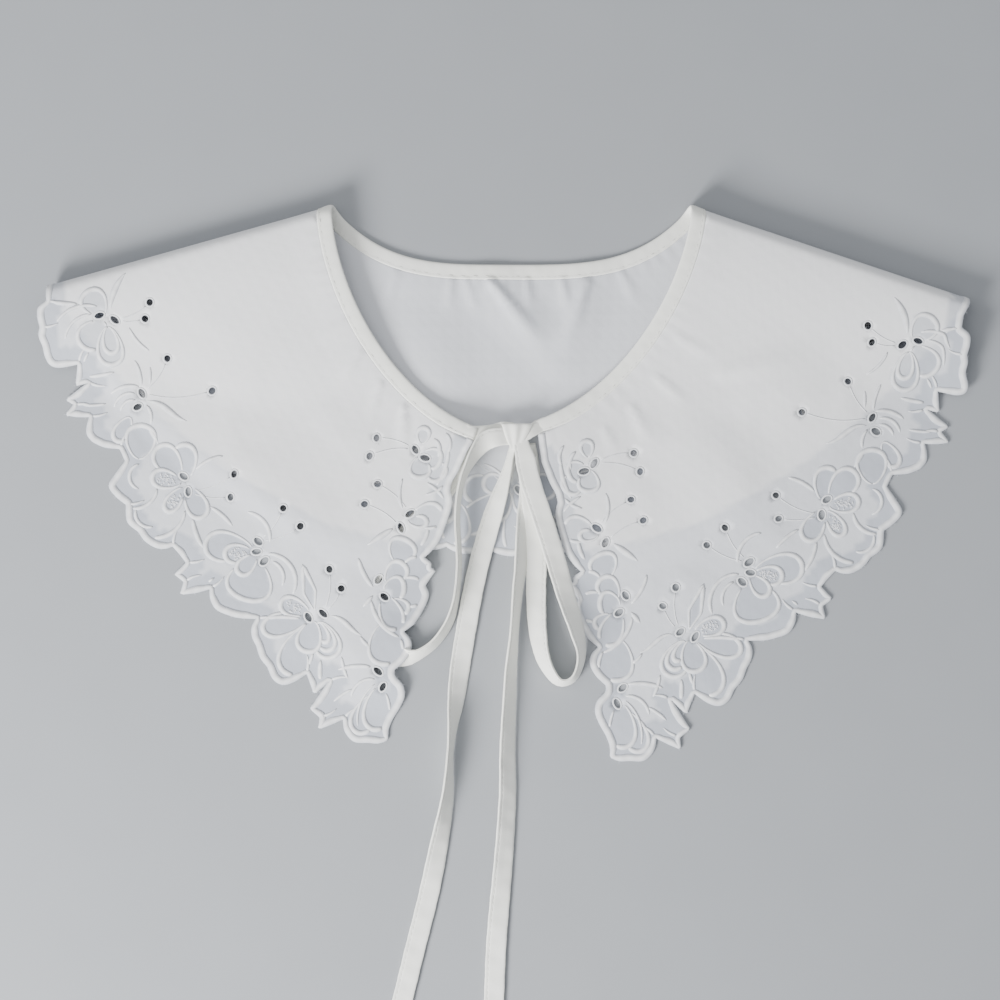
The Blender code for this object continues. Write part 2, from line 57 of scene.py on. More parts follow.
# Driving sizes, as in the solids
NECK_HALF_WIDTH = 71.4
BACK_NECK_DEPTH = 22.8
BACK_NECK_POWER = 3.6
FRONT_NECK_DEPTH = 91.0
FRONT_NECK_POWER = 1.75
FRONT_NECK_END = 13.0
NECK_CORNER_GAP = 2.5
BINDING_WIDTH = 6.0
BINDING_OVERLAP = 0.6
BINDING_HALF_THICKNESS = 0.9
WALL = 1.0
FOLD_RADIUS = 4.6
TAPE_WIDTH = 8.0
TAPE_THICKNESS = 1.0
FOLD_SLOPE = {-1: 15.7, 1: 18.5}
# As it was laid, the right front has turned a little about its neck corner, and its hem has slipped down as
# well, with its first lobes drawn in: turn, stretch, step out, step down, drawn in
NECK_SET = {-1: (0.0, 1.0, 0.0, 0.0, 0.0), 1: (2.8, 1.0, 0.0, 0.0, 0.0)}
HEM_SET = {-1: (0.0, 1.0, 0.0, 0.0, 0.0), 1: (2.3, 1.01, -1.1, 5.9, 4.2)}
DRAWN_FROM = (172.0, 64.0)
DRAWN_SPREAD = (8.0, 12.0)

# The cloth and its satin stitch, which is plumper on the cloth's right side
CLOTH_HALF_THICKNESS = 0.17
PETAL_BASE_HALF = 0.45
PETAL_TIP_HALF = 1.2
SATIN_RIGHT_SIDE = 0.46
SATIN_WRONG_SIDE = 0.36
BORDER_NARROWEST = 0.3
BORDER_NOTCH_HALF = 0.9
BORDER_LOBE_HALF = 1.4
BORDER_WIDENS_OVER = 4.5
BORDER_STEP = 0.8
BORDER_TURN = 0.42
HEM_OVERHANG = 0.35
NOTCH_TURN = 18.0
CURL_LENGTH = 6.5
NOTCH_SPACING = 6.0
CURLS_BEYOND = 48.0
STEM_SHORTEST = 6.0
STEM_LONGEST = 30.0
STEM_FROM_EYELET = 2.2
STEM_FROM_HEART = 3.0
STEM_SAG = 0.08
STEM_HALF = 0.3
SEEDS_PER_PETAL = 46
SEEDS_WITHIN = 0.66
SEED_HALF_LENGTH = 0.55
SEED_CLEARANCE = 2.8
FRAY_LEAN = 1.1
FRAY_CURL = 0.9
FRAY_LENGTHS = (0.5, 1.5)
RING_STEP = 1.1

# The hem of one front, from the shoulder fold round the point to the neck: a, b, sharp. The line bends
# smoothly at a 0 and turns sharply at a 1, at the notch between two lobes or at the tip of a leaf.
FRONT_HEM = (
    (184.3, 33.1, 1), (183.9, 37.9, 1), (187.2, 40.6, 0), (187.6, 44.2, 0), (186.8, 48.3, 1),
    (187.4, 51.6, 0), (186.0, 55.8, 1), (185.3, 59.8, 0), (183.5, 62.9, 0), (179.8, 63.8, 0),
    (172.6, 62.5, 1), (173.8, 70.9, 1), (168.9, 69.9, 1), (177.9, 76.6, 1), (174.8, 78.6, 1),
    (178.2, 82.7, 1), (173.4, 83.4, 0), (168.5, 83.4, 1), (169.6, 87.4, 0), (169.5, 90.6, 0),
    (167.4, 93.4, 1), (162.6, 95.5, 0), (156.4, 96.2, 1), (154.2, 101.2, 1), (158.2, 106.4, 0),
    (160.7, 111.0, 0), (158.2, 115.0, 0), (153.8, 118.6, 1), (153.8, 122.4, 0), (153.0, 126.0, 0),
    (149.0, 129.4, 1), (146.4, 133.0, 0), (142.0, 135.7, 0), (138.2, 136.0, 0), (135.4, 135.0, 1),
    (132.6, 138.2, 0), (129.8, 141.8, 1), (134.5, 146.4, 1), (130.8, 149.4, 1), (132.2, 154.4, 1),
    (126.2, 153.7, 0), (120.4, 152.1, 1), (120.2, 156.0, 0), (118.4, 159.8, 0), (115.8, 161.6, 1),
    (109.4, 163.6, 0), (101.8, 164.1, 1), (103.6, 167.6, 0), (103.5, 171.4, 0), (101.8, 175.0, 1),
    (100.2, 179.8, 0), (97.4, 183.4, 1), (95.2, 188.2, 0), (91.6, 190.4, 0), (87.0, 189.3, 0),
    (81.7, 185.9, 1), (78.8, 194.2, 1), (72.4, 188.6, 1), (80.3, 200.2, 1), (76.4, 203.6, 1),
    (77.0, 208.2, 1), (72.2, 206.4, 0), (67.2, 204.1, 1), (66.4, 209.2, 0), (62.8, 213.2, 0),
    (57.0, 213.6, 1), (53.0, 213.8, 0), (49.6, 212.6, 1), (49.2, 208.0, 0), (47.5, 203.9, 1),
    (44.6, 199.2, 0), (42.9, 194.8, 0), (43.6, 190.6, 0), (46.6, 187.0, 0), (46.8, 184.2, 1),
    (42.7, 180.6, 0), (40.2, 176.2, 0), (40.5, 172.4, 0), (43.2, 169.2, 1), (39.0, 166.1, 1),
    (35.8, 161.2, 0), (33.3, 155.0, 0), (34.6, 150.8, 1), (32.6, 147.8, 0), (30.6, 145.0, 1),
    (32.4, 144.0, 1), (32.3, 141.8, 1), (35.2, 139.6, 1), (32.0, 136.8, 0), (29.0, 132.8, 0),
    (26.6, 126.8, 0), (24.4, 120.0, 0), (24.0, 116.0, 0), (24.8, 112.8, 1), (23.8, 109.2, 0),
    (21.4, 105.2, 0), (19.4, 100.8, 0), (17.7, 97.0, 1),
)

# The line under the back panel's lobes, from the centre outwards to the shoulder fold: a, b
BACK_HEM = (
    (0.0, 136.4), (24.0, 135.0), (48.0, 131.4), (72.0, 124.8), (96.0, 112.8), (118.0, 99.2),
    (138.0, 83.0), (156.0, 66.0), (170.0, 49.5), (178.6, 38.0), (184.2, 30.4),
)
BACK_LOBE = 17.4
BACK_LOBE_DEPTH = 2.6

# Petals of each kind of motif on the back panel, about its own centre and along its own axis: bearing, start,
# reach, width, kind. A petal's kind is 0 for a pointed one, 1 for a round one and 2 for a round one with seed
# stitches in it.
MOTIFS = {
    "open_flower": ((-88, 3, 20, 13, 1), (-50, 4, 28, 13, 1), (-21, 6, 29.5, 12, 1), (6, 6, 29, 12, 1),
                    (33, 5, 29, 12, 1), (61, 4, 26, 13, 1), (92, 3, 19, 12, 1), (-104, 1, 12, 9, 1),
                    (-27, 2, 15, 8, 1), (32, 2, 12.5, 7, 1), (88, 1, 11.5, 9, 1)),
    "leaf_pair": ((-16, 0, 17, 6, 0), (17, 0, 16, 6, 0), (0, 0, 12, 9, 1)),
    "round_petal": ((0, -6, 10, 13, 1),),
    "petal_pair": ((-22, -4, 12, 12, 1), (24, -4, 12, 12, 1)),
}

# Where the motifs sit along one half of the back panel's hem, the first one on the centre line: kind, a, b,
# turn from outwards towards the hem, size
BACK_MOTIFS = (
    ("open_flower", 0.0, 112.0, 90, 0.95), ("round_petal", 22.0, 124.0, 84, 1.0),
    ("open_flower", 43.0, 108.5, 80, 0.95), ("leaf_pair", 64.5, 121.0, 72, 0.8),
    ("open_flower", 80.5, 99.0, 64, 0.95), ("petal_pair", 102.0, 99.5, 58, 0.9),
    ("open_flower", 114.0, 77.0, 56, 0.95), ("leaf_pair", 134.0, 77.5, 50, 0.9),
    ("open_flower", 141.0, 55.0, 46, 0.9), ("petal_pair", 165.0, 44.0, 26, 0.95),
)

# Free satin strokes of the back panel's motifs, along each one's own axis: bearing and distance of the start,
# heading, length, change of heading, swing of an S, width. Wide ones are leaves.
LEAF_WIDTH = 2.15
BACK_STROKES = {
    "open_flower": ((172, 3, 184, 16, -60, 0, 2.3), (214, 3, 214, 13, 40, 0, 1.3),
                    (4, 16, 60, 8, 60, 0, 1.3)),
    "leaf_pair": ((-10, 3, -10, 9, 4, 0, 1.1), (11, 3, 11, 8, -4, 0, 1.1)),
}

# The flowers along one front's hem, from the shoulder round the point to the neck: middle a and b; petals,
# the later ones on top; strokes. Bearings run from outwards towards the hem's tip.
FRONT_FLOWERS = (
    (160.6, 45.0,
     ((-54, 2, 13, 11, 1), (47, 1.5, 14.5, 11.5, 1), (95, 3, 18, 11, 1), (98, 3, 13.5, 6.5, 1)),
     ((-27, 12.9, 0, 11, -12, 0, 2.0), (-53, 6.1, -12, 18, 70, 0, 1.6), (-20, 5.3, 0, 16.5, 85, 0, 1.4),
      (-113, 4, -95, 16, -40, 0, 2.8), (159, 9.4, 112, 12, 40, 0, 1.4), (60, 15.0, 52, 6, 26, 0, 1.3))),
    (148.2, 76.9,
     ((59, 8, 18.8, 7, 1),),
     ((-85, 5.3, -10, 12, 50, 0, 2.0), (-50, 3.3, -10, 11, 90, 0, 1.6), (0, 2, -5, 8, 85, 0, 1.5),
      (-24, 23, 183, 11, 12, 0, 1.8), (170, 3, 180, 18, -5, -38, 2.6), (-122, 7.6, -92, 6.5, 0, 0, 1.3),
      (-96, 5.7, -90, 10.5, 30, 0, 1.5), (141, 3.2, 130, 8, -60, 0, 1.6), (6, 14.0, 10, 9, -14, 0, 1.3))),
    (148.8, 100.4,
     ((-95, 0, 13.5, 13, 1),),
     ((-104, 14.2, 122, 8.8, -8, 0, 2.3), (20, 2, 30, 8, 40, 0, 1.4))),
    (130.1, 110.4,
     ((-88, 2, 15.8, 10.5, 1), (-53, 4, 18.5, 11, 1), (-13, 2, 13.8, 8, 2), (54, 2, 13.2, 6.5, 2),
      (117, 1.5, 14.8, 9.2, 1)),
     ((-23, 20.4, 20, 13.5, 150, 0, 1.7), (9, 11.7, 80, 14.8, -95, 0, 2.0), (26.5, 22.2, 75, 12, 125, 0, 1.7),
      (88, 10.7, 80, 23, -110, 0, 2.1), (101, 14, 97, 12.5, 28, 0, 2.1), (137, 13.5, 150, 11.5, -25, 0, 1.9),
      (-124.5, 7.4, -140, 12, -32, 0, 1.8))),
    (100.6, 137.4,
     ((-8, 3, 22, 13, 1), (5, 3, 14, 8, 2), (72, 4, 20, 20, 1), (45, 2, 12, 7, 1)),
     ((-136, 5.6, -95, 16.5, 90, 0, 2.0), (166, 3.4, 175, 22.5, -115, 0, 2.1),
      (133, 4.8, 170, 13.5, -110, 0, 1.6), (30, 21.0, 30, 7, 40, 0, 1.4))),
    (78.1, 162.8,
     ((-75, 2, 20, 5, 0), (15, 3, 22, 10, 1), (-20, 3, 15, 8, 2), (63, 5, 26, 14, 1), (112, 3, 18, 11.5, 1),
      (112.6, 3, 15, 8, 1), (112, 3, 11.5, 4.5, 1), (74, 2.5, 15, 10.5, 1)),
     ((12, 6.7, -10, 17, 25, 0, 1.8), (178, 6, 175, 15, -10, -35, 2.3), (155, 19.6, 122, 23, 122, 0, 2.1),
      (96, 18.0, 84, 11, 14, 0, 2.1), (122, 19.5, 96, 9, 20, 0, 1.6))),
    (52.2, 188.2,
     ((66, 7, 23.5, 10.5, 1), (83, 3, 20.5, 11.5, 1)),
     ((-57, 5.6, -10, 14, 30, 0, 2.0), (0, 2.4, -5, 13, 90, 0, 1.6), (40, 3.1, 40, 19, 60, 0, 1.1),
      (-116, 5.2, 110, 8, 0, 0, 2.1), (20, 12.0, 24, 9, 20, 0, 1.5))),
    (51.8, 151.8,
     ((94, 14, 30.5, 15, 1), (-118, 12, 21.6, 12, 1), (-150, 8, 20, 10, 1), (172, 3, 17, 13, 1),
      (-133, 3, 13, 9, 1), (180, 1, 9, 10, 1), (135, 6.5, 14, 6.5, 1), (110, 3, 17.5, 10, 1)),
     ((-5, 3.5, -50, 13, -30, 0, 2.1), (50, 6.5, 100, 19, 58, 0, 2.1), (42, 4.5, 48, 6, 0, 0, 2.3))),
    (42.2, 124.9,
     ((-169, 2, 15, 11, 1), (175, 1, 8.5, 5, 1)),
     ((164, 9.3, 85, 8, -35, 0, 2.0), (-75, 5, -70, 12, -45, 0, 1.6), (33, 5, 33, 13, 0, 0, 2.9),
      (-128, 13.0, -176, 8, 50, 0, 1.6))),
    (36.4, 98.4,
     ((133, 5, 13, 9, 1), (160, 1, 8.6, 9, 1), (90, 1, 9.5, 9, 1), (-99.6, 4, 10.5, 5.5, 1)),
     ((-133, 8.2, 140, 8, -80, 0, 2.1), (-141.6, 13.2, 130, 9, -80, 0, 1.8), (104, 12.0, 150, 9, -30, 0, 1.6),
      (-172, 11.6, 84, 15, -28, 0, 2.1))),
)

# Oval eyelets at the hearts of a front's flowers: a, b, turn
FRONT_HEARTS = (
    (163.4, 43.6, 17), (157.4, 45.3, -40), (147.4, 74.2, -60), (149.2, 79.6, 25), (131.0, 107.3, -35),
    (129.2, 113.4, 90), (101.2, 133.3, -38), (101.9, 137.4, 5), (98.8, 141.2, 40), (81.1, 163.6, -60),
    (75.1, 162.0, -42), (53.2, 185.0, -42), (51.3, 191.3, 62), (52.9, 148.4, 55), (50.6, 155.3, -38),
    (40.4, 122.2, 32), (44.0, 127.8, -70), (38.3, 96.7, -60), (34.4, 100.0, -15),
)

# The same on the back panel, as offsets along and across each flower's axis, with a turn
BACK_HEARTS = ((-0.8, -3.0, -38), (0.8, 3.0, 42))

# Small round eyelets scattered on the ground: a, b
FRONT_SATELLITES = (
    (143.4, 38.4), (145.4, 44.8), (137.0, 60.4), (119.4, 73.2), (110.6, 106.4), (112.2, 115.6), (91.0, 120.0),
    (84.2, 127.2), (72.6, 144.4), (67.8, 152.0), (58.6, 118.4), (53.4, 110.4), (56.6, 99.2), (53.8, 92.0),
)
BACK_SATELLITES = ((20.0, 100.0), (26.0, 96.0), (60.0, 92.0), (97.0, 80.0), (128.0, 58.0))
EYELET_RADIUS = 1.45
HEART_LENGTH = 2.05
HEART_WIDTH = 1.3
RIM_WIDTH = 0.8

# Soft ridges of the laid cloth, as it lies: x and y of both ends, half width, height
FRONT_RIDGES = (
    (-150.0, -52.0, -60.0, -62.0, 13.0, 1.2), (-110.0, -96.0, -66.0, -150.0, 12.0, 1.0),
    (88.0, -62.0, 128.0, -78.0, 13.0, 1.8), (62.0, -70.0, 96.0, -128.0, 12.0, 1.2),
)
BACK_RIDGES = (
    (-9.0, -29.0, 17.0, -59.0, 7.0, 1.7), (32.0, -29.0, 20.0, -59.0, 7.0, 1.7),
    (-38.0, -40.0, -22.0, -84.0, 10.0, 1.2),
)

# Gathers that radiate from the binding, too small for the solids
FRONT_GATHERS = (
    (-60.0, -58.0, -72.0, -76.0, 2.2, 0.8), (-52.0, -70.0, -58.0, -88.0, 2.0, 0.8),
    (-43.0, -80.0, -43.5, -102.0, 2.4, 1.1), (-66.0, -46.0, -82.0, -56.0, 2.4, 0.5),
    (66.0, -52.0, 84.0, -62.0, 2.4, 0.9), (58.0, -68.0, 72.0, -80.0, 2.2, 0.9),
    (48.0, -80.0, 56.0, -95.0, 2.2, 0.8), (37.0, -88.0, 43.0, -102.0, 2.0, 0.6),
    (75.0, -28.0, 96.0, -34.0, 3.0, 0.6), (-75.0, -26.0, -98.0, -30.0, 3.0, 0.4),
    (84.0, -66.0, 126.0, -58.0, 5.0, 0.9),
)
BACK_GATHERS = (
    (-24.0, -29.0, -26.0, -44.0, 2.2, 0.8), (-18.0, -29.0, -13.0, -46.0, 2.0, 0.7),
    (6.0, -29.0, 7.5, -41.0, 2.0, 0.8), (20.0, -29.0, 23.0, -44.0, 2.2, 0.8),
    (-46.0, -26.0, -52.0, -42.0, 2.4, 0.6), (44.0, -26.0, 52.0, -42.0, 2.4, 0.6),
    (-8.0, -30.0, 16.0, -60.0, 3.0, 1.5), (30.0, -30.0, 19.0, -60.0, 3.2, 1.5),
)

# Faint waves of the pressed cloth: direction, length, phase, height
COCKLES = ((20, 46, 0.4, 0.22), (105, 33, 1.9, 0.16), (62, 21, 4.1, 0.09), (150, 15, 2.7, 0.05))

# The bow's strands, from the knot outwards: x, y, z, roll of the tape about its own line in degrees
RIGHT_LOOP = (
    (5.2, -99.4, 6.7, 2), (6.6, -106.0, 6.3, 4), (8.8, -113.5, 5.7, 4), (12.0, -122.8, 5.0, 6),
    (16.8, -138.0, 4.3, 12), (21.2, -153.2, 3.8, 24), (26.0, -168.8, 4.2, 46), (27.8, -179.0, 4.5, 66),
    (24.8, -187.8, 4.6, 72), (18.6, -189.2, 4.5, 66), (13.0, -181.0, 4.3, 50), (10.4, -168.8, 3.2, 30),
    (9.8, -153.2, 2.1, 10), (10.0, -145.0, 2.2, 2), (10.0, -136.0, 2.9, 0), (9.6, -129.0, 3.4, 0),
    (8.6, -121.0, 3.7, 0), (7.2, -110.0, 3.7, 0), (6.2, -99.4, 3.8, 0),
)
LEFT_LOOP = (
    (-13.6, -97.2, 7.2, 48), (-16.4, -101.6, 7.5, 64), (-19.2, -107.8, 7.8, 75), (-21.0, -115.6, 7.7, 78),
    (-21.6, -124.8, 7.2, 78), (-21.0, -136.0, 6.3, 78), (-21.0, -145.6, 5.2, 78), (-22.2, -156.4, 4.5, 76),
    (-25.0, -165.8, 4.3, 68), (-30.0, -173.2, 4.1, 66), (-35.6, -177.6, 3.9, 62), (-39.4, -179.0, 3.1, 47),
    (-43.0, -179.4, 1.9, 18), (-47.6, -179.2, 1.3, 4), (-53.0, -176.8, 0.9, 0), (-59.6, -169.0, 1.0, 0),
    (-60.4, -158.0, 1.6, 0), (-55.0, -145.6, 2.0, 0), (-45.0, -134.0, 2.0, 0), (-34.0, -121.6, 2.0, 0),
    (-25.0, -110.4, 2.4, 0), (-18.4, -100.6, 3.2, 4),
)
LEFT_TAIL = (
    (-0.4, -99.4, 3.9, -46), (-1.6, -104.4, 3.8, -46), (-3.2, -110.0, 3.5, -42), (-5.2, -116.2, 3.0, -34),
    (-7.5, -123.2, 2.3, -20), (-10.0, -131.4, 1.8, -6), (-12.6, -140.8, 1.5, 0), (-15.4, -153.2, 1.3, 0),
    (-18.2, -168.8, 1.0, 0), (-20.6, -184.0, 1.5, 14), (-22.2, -196.8, 2.9, 38), (-23.6, -208.0, 4.3, 66),
    (-24.6, -219.6, 4.5, 74), (-25.6, -235.2, 4.0, 56), (-28.2, -250.4, 2.9, 34), (-32.8, -273.2, 1.2, 6),
    (-38.6, -296.4, 0.9, 0), (-43.6, -316.8, 0.9, 0), (-47.6, -332.0, 0.9, 0), (-52.4, -350.0, 0.9, 0),
)
RIGHT_TAIL = (
    (7.0, -99.4, 2.1, 0), (7.4, -108.0, 2.1, 0), (7.0, -116.0, 2.3, 4), (6.0, -123.0, 3.0, 18),
    (5.0, -129.0, 3.9, 38), (4.2, -136.0, 4.3, 48), (3.5, -145.0, 4.5, 54), (2.4, -153.2, 4.3, 60),
    (1.1, -168.8, 4.3, 66), (-0.2, -184.0, 4.1, 56), (-0.8, -196.8, 3.9, 50), (-1.6, -216.0, 3.4, 42),
    (-1.6, -235.2, 2.9, 34), (-3.0, -258.0, 2.3, 24), (-5.0, -280.8, 1.5, 10), (-6.2, -296.4, 1.0, 0),
    (-7.0, -316.8, 0.9, 0), (-7.8, -334.0, 0.9, 0), (-9.2, -352.0, 0.9, 0),
)

# How the strands run on inside the knot, to before their first row or past their last
LEFT_BAND = ((0.5, -91.8, 5.4, 0), (-4.6, -91.6, 6.9, 2), (-9.8, -93.0, 7.3, 18))
LEFT_RETURN_END = ((-13.8, -94.2, 4.2, 8), (-8.6, -91.8, 4.4, 0))
RIGHT_BAND = ((3.0, -91.0, 6.3, 0), (4.0, -95.2, 6.7, 1))
RIGHT_BINDING_BAND = ((6.6, -89.9, 6.5, 0), (2.2, -92.4, 6.6, 0))
LEFT_BINDING_BAND = ((-7.8, -89.5, 5.4, 0), (-3.8, -88.4, 6.0, 0), (0.4, -89.0, 5.8, 0))
LEFT_TAIL_START = ((0.8, -94.4, 4.2, -40),)
RIGHT_TAIL_START = ((6.4, -94.4, 2.1, 0),)

# The wrap over the middle of the knot: its pinched lower point, the spread of its fan and its pleats
WRAP_PINCH = (1.4, -97.0)
WRAP_RISE = 10.6
WRAP_HALF_WIDTH = 5.4
WRAP_PLEATS = 2.2
WRAP_RINGS = 26
WRAP_UPPER = 21
WRAP_LOWER = 9

# Where the back panel lies free in the neck opening, and how the fronts settle on it
BACK_FREE_DOWN_TO = 96.0
BACK_FREE_OUT_TO = 62.0
BACK_TOP_CLEARANCE = 1.55
SETTLE_NECK = 86.0
SETTLE_END = 46.0
SETTLE_REACH = 110.0
OVERHANG_STEP = 16.0
RIDGES_SHOW_THROUGH = 0.35
KNOT_LIFT = 2.4
KNOT_LIFT_Y = -90.0
KNOT_LIFT_SPREAD = 24.0
LOOP_LIFT = 3.1
LOOP_LIFT_TOP = 5.0
LOOP_LIFT_SPREAD = 11.0
LOOP_GOES_UNDER = 11
NECK_EDGE_RISE = 0.4
PUCKER_HEIGHT = 0.16
PUCKER_LENGTH = 5.3
PUCKER_REACH = 4.5
EYELET_CLEARANCE = 0.5
PETAL_ZONE = 7.0
BINDING_END_SHARE = 0.86
BINDING_SEAM_SHARE = 0.8
BINDING_SEAM_DEPTH = 0.36
BINDING_SIDES = 24

# Fineness. Real threads are about 0.3 mm apart; 0.8 mm is the finest weave that still shows.
HEM_STEP = 0.4
HEM_TOLERANCE = 0.05
NECK_STEP = 1.3
CLOTH_GRID = 2.1
FOLD_ROWS = 16
STITCH_PITCH = 2.4
TAPE_STEP = 1.5
THREADS_PER_METRE = 1250.0
FAR = 1000.0
# The cloth's closer rows: how far they lie from the binding, and where along a fold they start and end
ROWS_BY_BINDING = (0.6, 1.8, 3.1, 4.5, 6.1, 7.9, 9.9)
FOLD_ROW_ENDS = (-4.0, 130.0)
# How far the UV places of a tape's other face lie from those of its first
OTHER_FACE = 9.0


# Lines

def smooth_line(rows, step):
    """Points about `step` apart along a smooth curve through the rows."""
    points = np.array(rows, float)
    padded = np.vstack([2 * points[0] - points[1], points, 2 * points[-1] - points[-2]])
    line = []
    for p0, p1, p2, p3 in zip(padded[:-3], padded[1:-2], padded[2:-1], padded[3:]):
        count = max(2, int(np.linalg.norm((p2 - p1)[:2]) / step))
        for t in np.arange(count) / count:
            line.append(0.5 * (2 * p1 + (p2 - p0) * t + (2 * p0 - 5 * p1 + 4 * p2 - p3) * t ** 2
                               + (3 * p1 - p0 - 3 * p2 + p3) * t ** 3))
    line.append(points[-1])
    return np.array(line)


def ease(x):
    """0 below 0, 1 above 1, and level at both ends."""
    x = np.clip(x, 0.0, 1.0)
    return x * x * (3.0 - 2.0 * x)


def lengths_along(line):
    """The distance gone at each point of a line."""
    return np.insert(np.cumsum(np.linalg.norm(np.diff(line, axis=0), axis=1)), 0, 0.0)


def evenly(line, step, measured=None):
    """The same line with points the same distance apart, measured in its first columns if so asked."""
    gone = lengths_along(line[:, :measured])
    count = max(2, int(round(gone[-1] / step)) + 1)
    marks = np.linspace(0.0, gone[-1], count)
    return np.column_stack([np.interp(marks, gone, line[:, i]) for i in range(line.shape[1])])


def softened(values, rounds):
    """Values along a line, each drawn towards its neighbours a few times, with both ends kept."""
    for _ in range(rounds):
        values[1:-1] = 0.25 * values[:-2] + 0.5 * values[1:-1] + 0.25 * values[2:]
    return values


def left_normals(line):
    """Unit normals on the left of the way along a line."""
    way = np.gradient(line, axis=0)
    way /= np.linalg.norm(way, axis=1)[:, None] + 1e-9
    return np.column_stack([-way[:, 1], way[:, 0]])


def offset_line(line, distance):
    """The line moved to its right by a distance, out from the neck into the cloth."""
    return line - left_normals(line) * distance


def distance_to_line(points, start, end):
    """Distance of plan points to a straight piece, and how far along it they are."""
    start, end = np.array(start), np.array(end)
    run = end - start
    share = np.clip(((points - start) @ run) / (run @ run), 0.0, 1.0)
    return np.linalg.norm(points - (start + np.outer(share, run)), axis=1), share


def distance_to_path(points, path):
    """Distance of plan points to the nearest straight piece of a path."""
    away = [distance_to_line(points, start, end)[0] for start, end in zip(path[:-1], path[1:])]
    return np.min(away, axis=0)


def turned(places, degrees):
    """Places turned about their own origin, from outwards towards the hem's tip."""
    cosine, sine = math.cos(math.radians(degrees)), math.sin(math.radians(degrees))
    x, y = places[:, 0], places[:, 1]
    return np.column_stack([x * cosine - y * sine, x * sine + y * cosine])


def simplified(line, tolerance):
    """The line with only the points that its shape needs."""
    kept = np.zeros(len(line), bool)
    kept[[0, -1]] = True
    work = [(0, len(line) - 1)]
    while work:
        first, last = work.pop()
        if last - first < 2:
            continue
        away, _ = distance_to_line(line[first + 1:last], line[first], line[last])
        worst = int(np.argmax(away))
        if away[worst] > tolerance:
            middle = first + 1 + worst
            kept[middle] = True
            work += [(first, middle), (middle, last)]
    return line[kept]


def inside(points, outline):
    """Which points lie inside a closed outline."""
    result = np.zeros(len(points), bool)
    ends = np.roll(outline, -1, axis=0)
    for (x0, y0), (x1, y1) in zip(outline, ends):
        crosses = (y0 > points[:, 1]) != (y1 > points[:, 1])
        if crosses.any():
            at = x0 + (points[:, 1] - y0) * (x1 - x0) / ((y1 - y0) or 1e-9)
            result ^= crosses & (points[:, 0] < at)
    return result


def inside_near(points, outline):
    """The same for a small outline, looking only at the points close to it."""
    result = np.zeros(len(points), bool)
    low, high = outline.min(axis=0), outline.max(axis=0)
    near = np.all((points > low) & (points < high), axis=1)
    if near.any():
        result[near] = inside(points[near], outline)
    return result


def distance_to_loop(points, line, furthest):
    """Distance of points to the nearest piece of a line, up to a furthest one."""
    nearest = np.full(len(points), furthest)
    order = np.argsort(points[:, 0])
    sorted_x = points[order, 0]
    for start, end in zip(line[:-1], line[1:]):
        if np.allclose(start, end):
            continue
        low, high = np.minimum(start, end) - furthest, np.maximum(start, end) + furthest
        strip = order[np.searchsorted(sorted_x, low[0]):np.searchsorted(sorted_x, high[0])]
        near = strip[(points[strip, 1] > low[1]) & (points[strip, 1] < high[1])]
        if len(near):
            nearest[near] = np.minimum(nearest[near], distance_to_line(points[near], start, end)[0])
    return nearest


# The laid cloth

def side_to_plan(side, places, laid):
    """Side places a, b turned about the neck corner and set on the left (-1) or right (1) of the plan."""
    degrees, stretch, step_out, step_down, drawn_in = laid[side]
    turn = math.radians(degrees)
    outer = ease((places[:, 0] - DRAWN_FROM[0]) / DRAWN_SPREAD[0])
    upper = ease((DRAWN_FROM[1] - places[:, 1]) / DRAWN_SPREAD[1])
    out = (places[:, 0] - drawn_in * outer * upper - NECK_HALF_WIDTH) * stretch
    down = places[:, 1] * stretch
    a = NECK_HALF_WIDTH + out * math.cos(turn) - down * math.sin(turn) + step_out
    b = out * math.sin(turn) + down * math.cos(turn) + step_down
    return np.column_stack([side * a, -b])


def fold_axes(side):
    """The fold line's neck corner, its direction outwards, and the direction from it into the cloth."""
    slope = math.radians(FOLD_SLOPE[side])
    corner = np.array([side * NECK_HALF_WIDTH, 0.0])
    along = np.array([side * math.cos(slope), -math.sin(slope)])
    inwards = np.array([-side * math.sin(slope), -math.cos(slope)])
    return corner, along, inwards


def plan_to_flat(side, plan):
    """A front's plan places turned back over the fold, into the flat cut that the back panel lies in."""
    corner, along, inwards = fold_axes(side)
    reach = (plan - corner) @ along
    depth = (plan - corner) @ inwards
    beyond = depth + (math.pi - 2.0) * FOLD_RADIUS
    return corner + np.outer(reach, along) - np.outer(beyond, inwards)


def front_to_flat(side, places):
    """Side places of a front, in the flat cut."""
    return plan_to_flat(side, side_to_plan(side, np.asarray(places, float), HEM_SET))


def back_to_flat(side, places):
    """Side places of one half of the back panel, in the flat cut."""
    return np.asarray(places, float) * [side, -1.0]


left_front, right_front = (partial(front_to_flat, side) for side in (-1, 1))
left_back, right_back = (partial(back_to_flat, side) for side in (-1, 1))


def ridges(plan, rows):
    """The height of soft ridges that fade out towards both ends."""
    height = np.zeros(len(plan))
    for x0, y0, x1, y1, half_width, top in rows:
        away, share = distance_to_line(plan, (x0, y0), (x1, y1))
        fade = 0.35 + 0.65 * np.sin(math.pi * np.clip(share, 0.0, 1.0))
        height += top * fade * ease(1.0 - away / (2.0 * half_width))
    return height


def gathers(plan, rows):
    """The height of small gathers, full at the binding and running out into the cloth."""
    height = np.zeros(len(plan))
    for x0, y0, x1, y1, half_width, top in rows:
        away, share = distance_to_line(plan, (x0, y0), (x1, y1))
        height += top * ease((1.0 - share) * 1.4) * ease(1.0 - away / (half_width * (1.0 + share)))
    return height


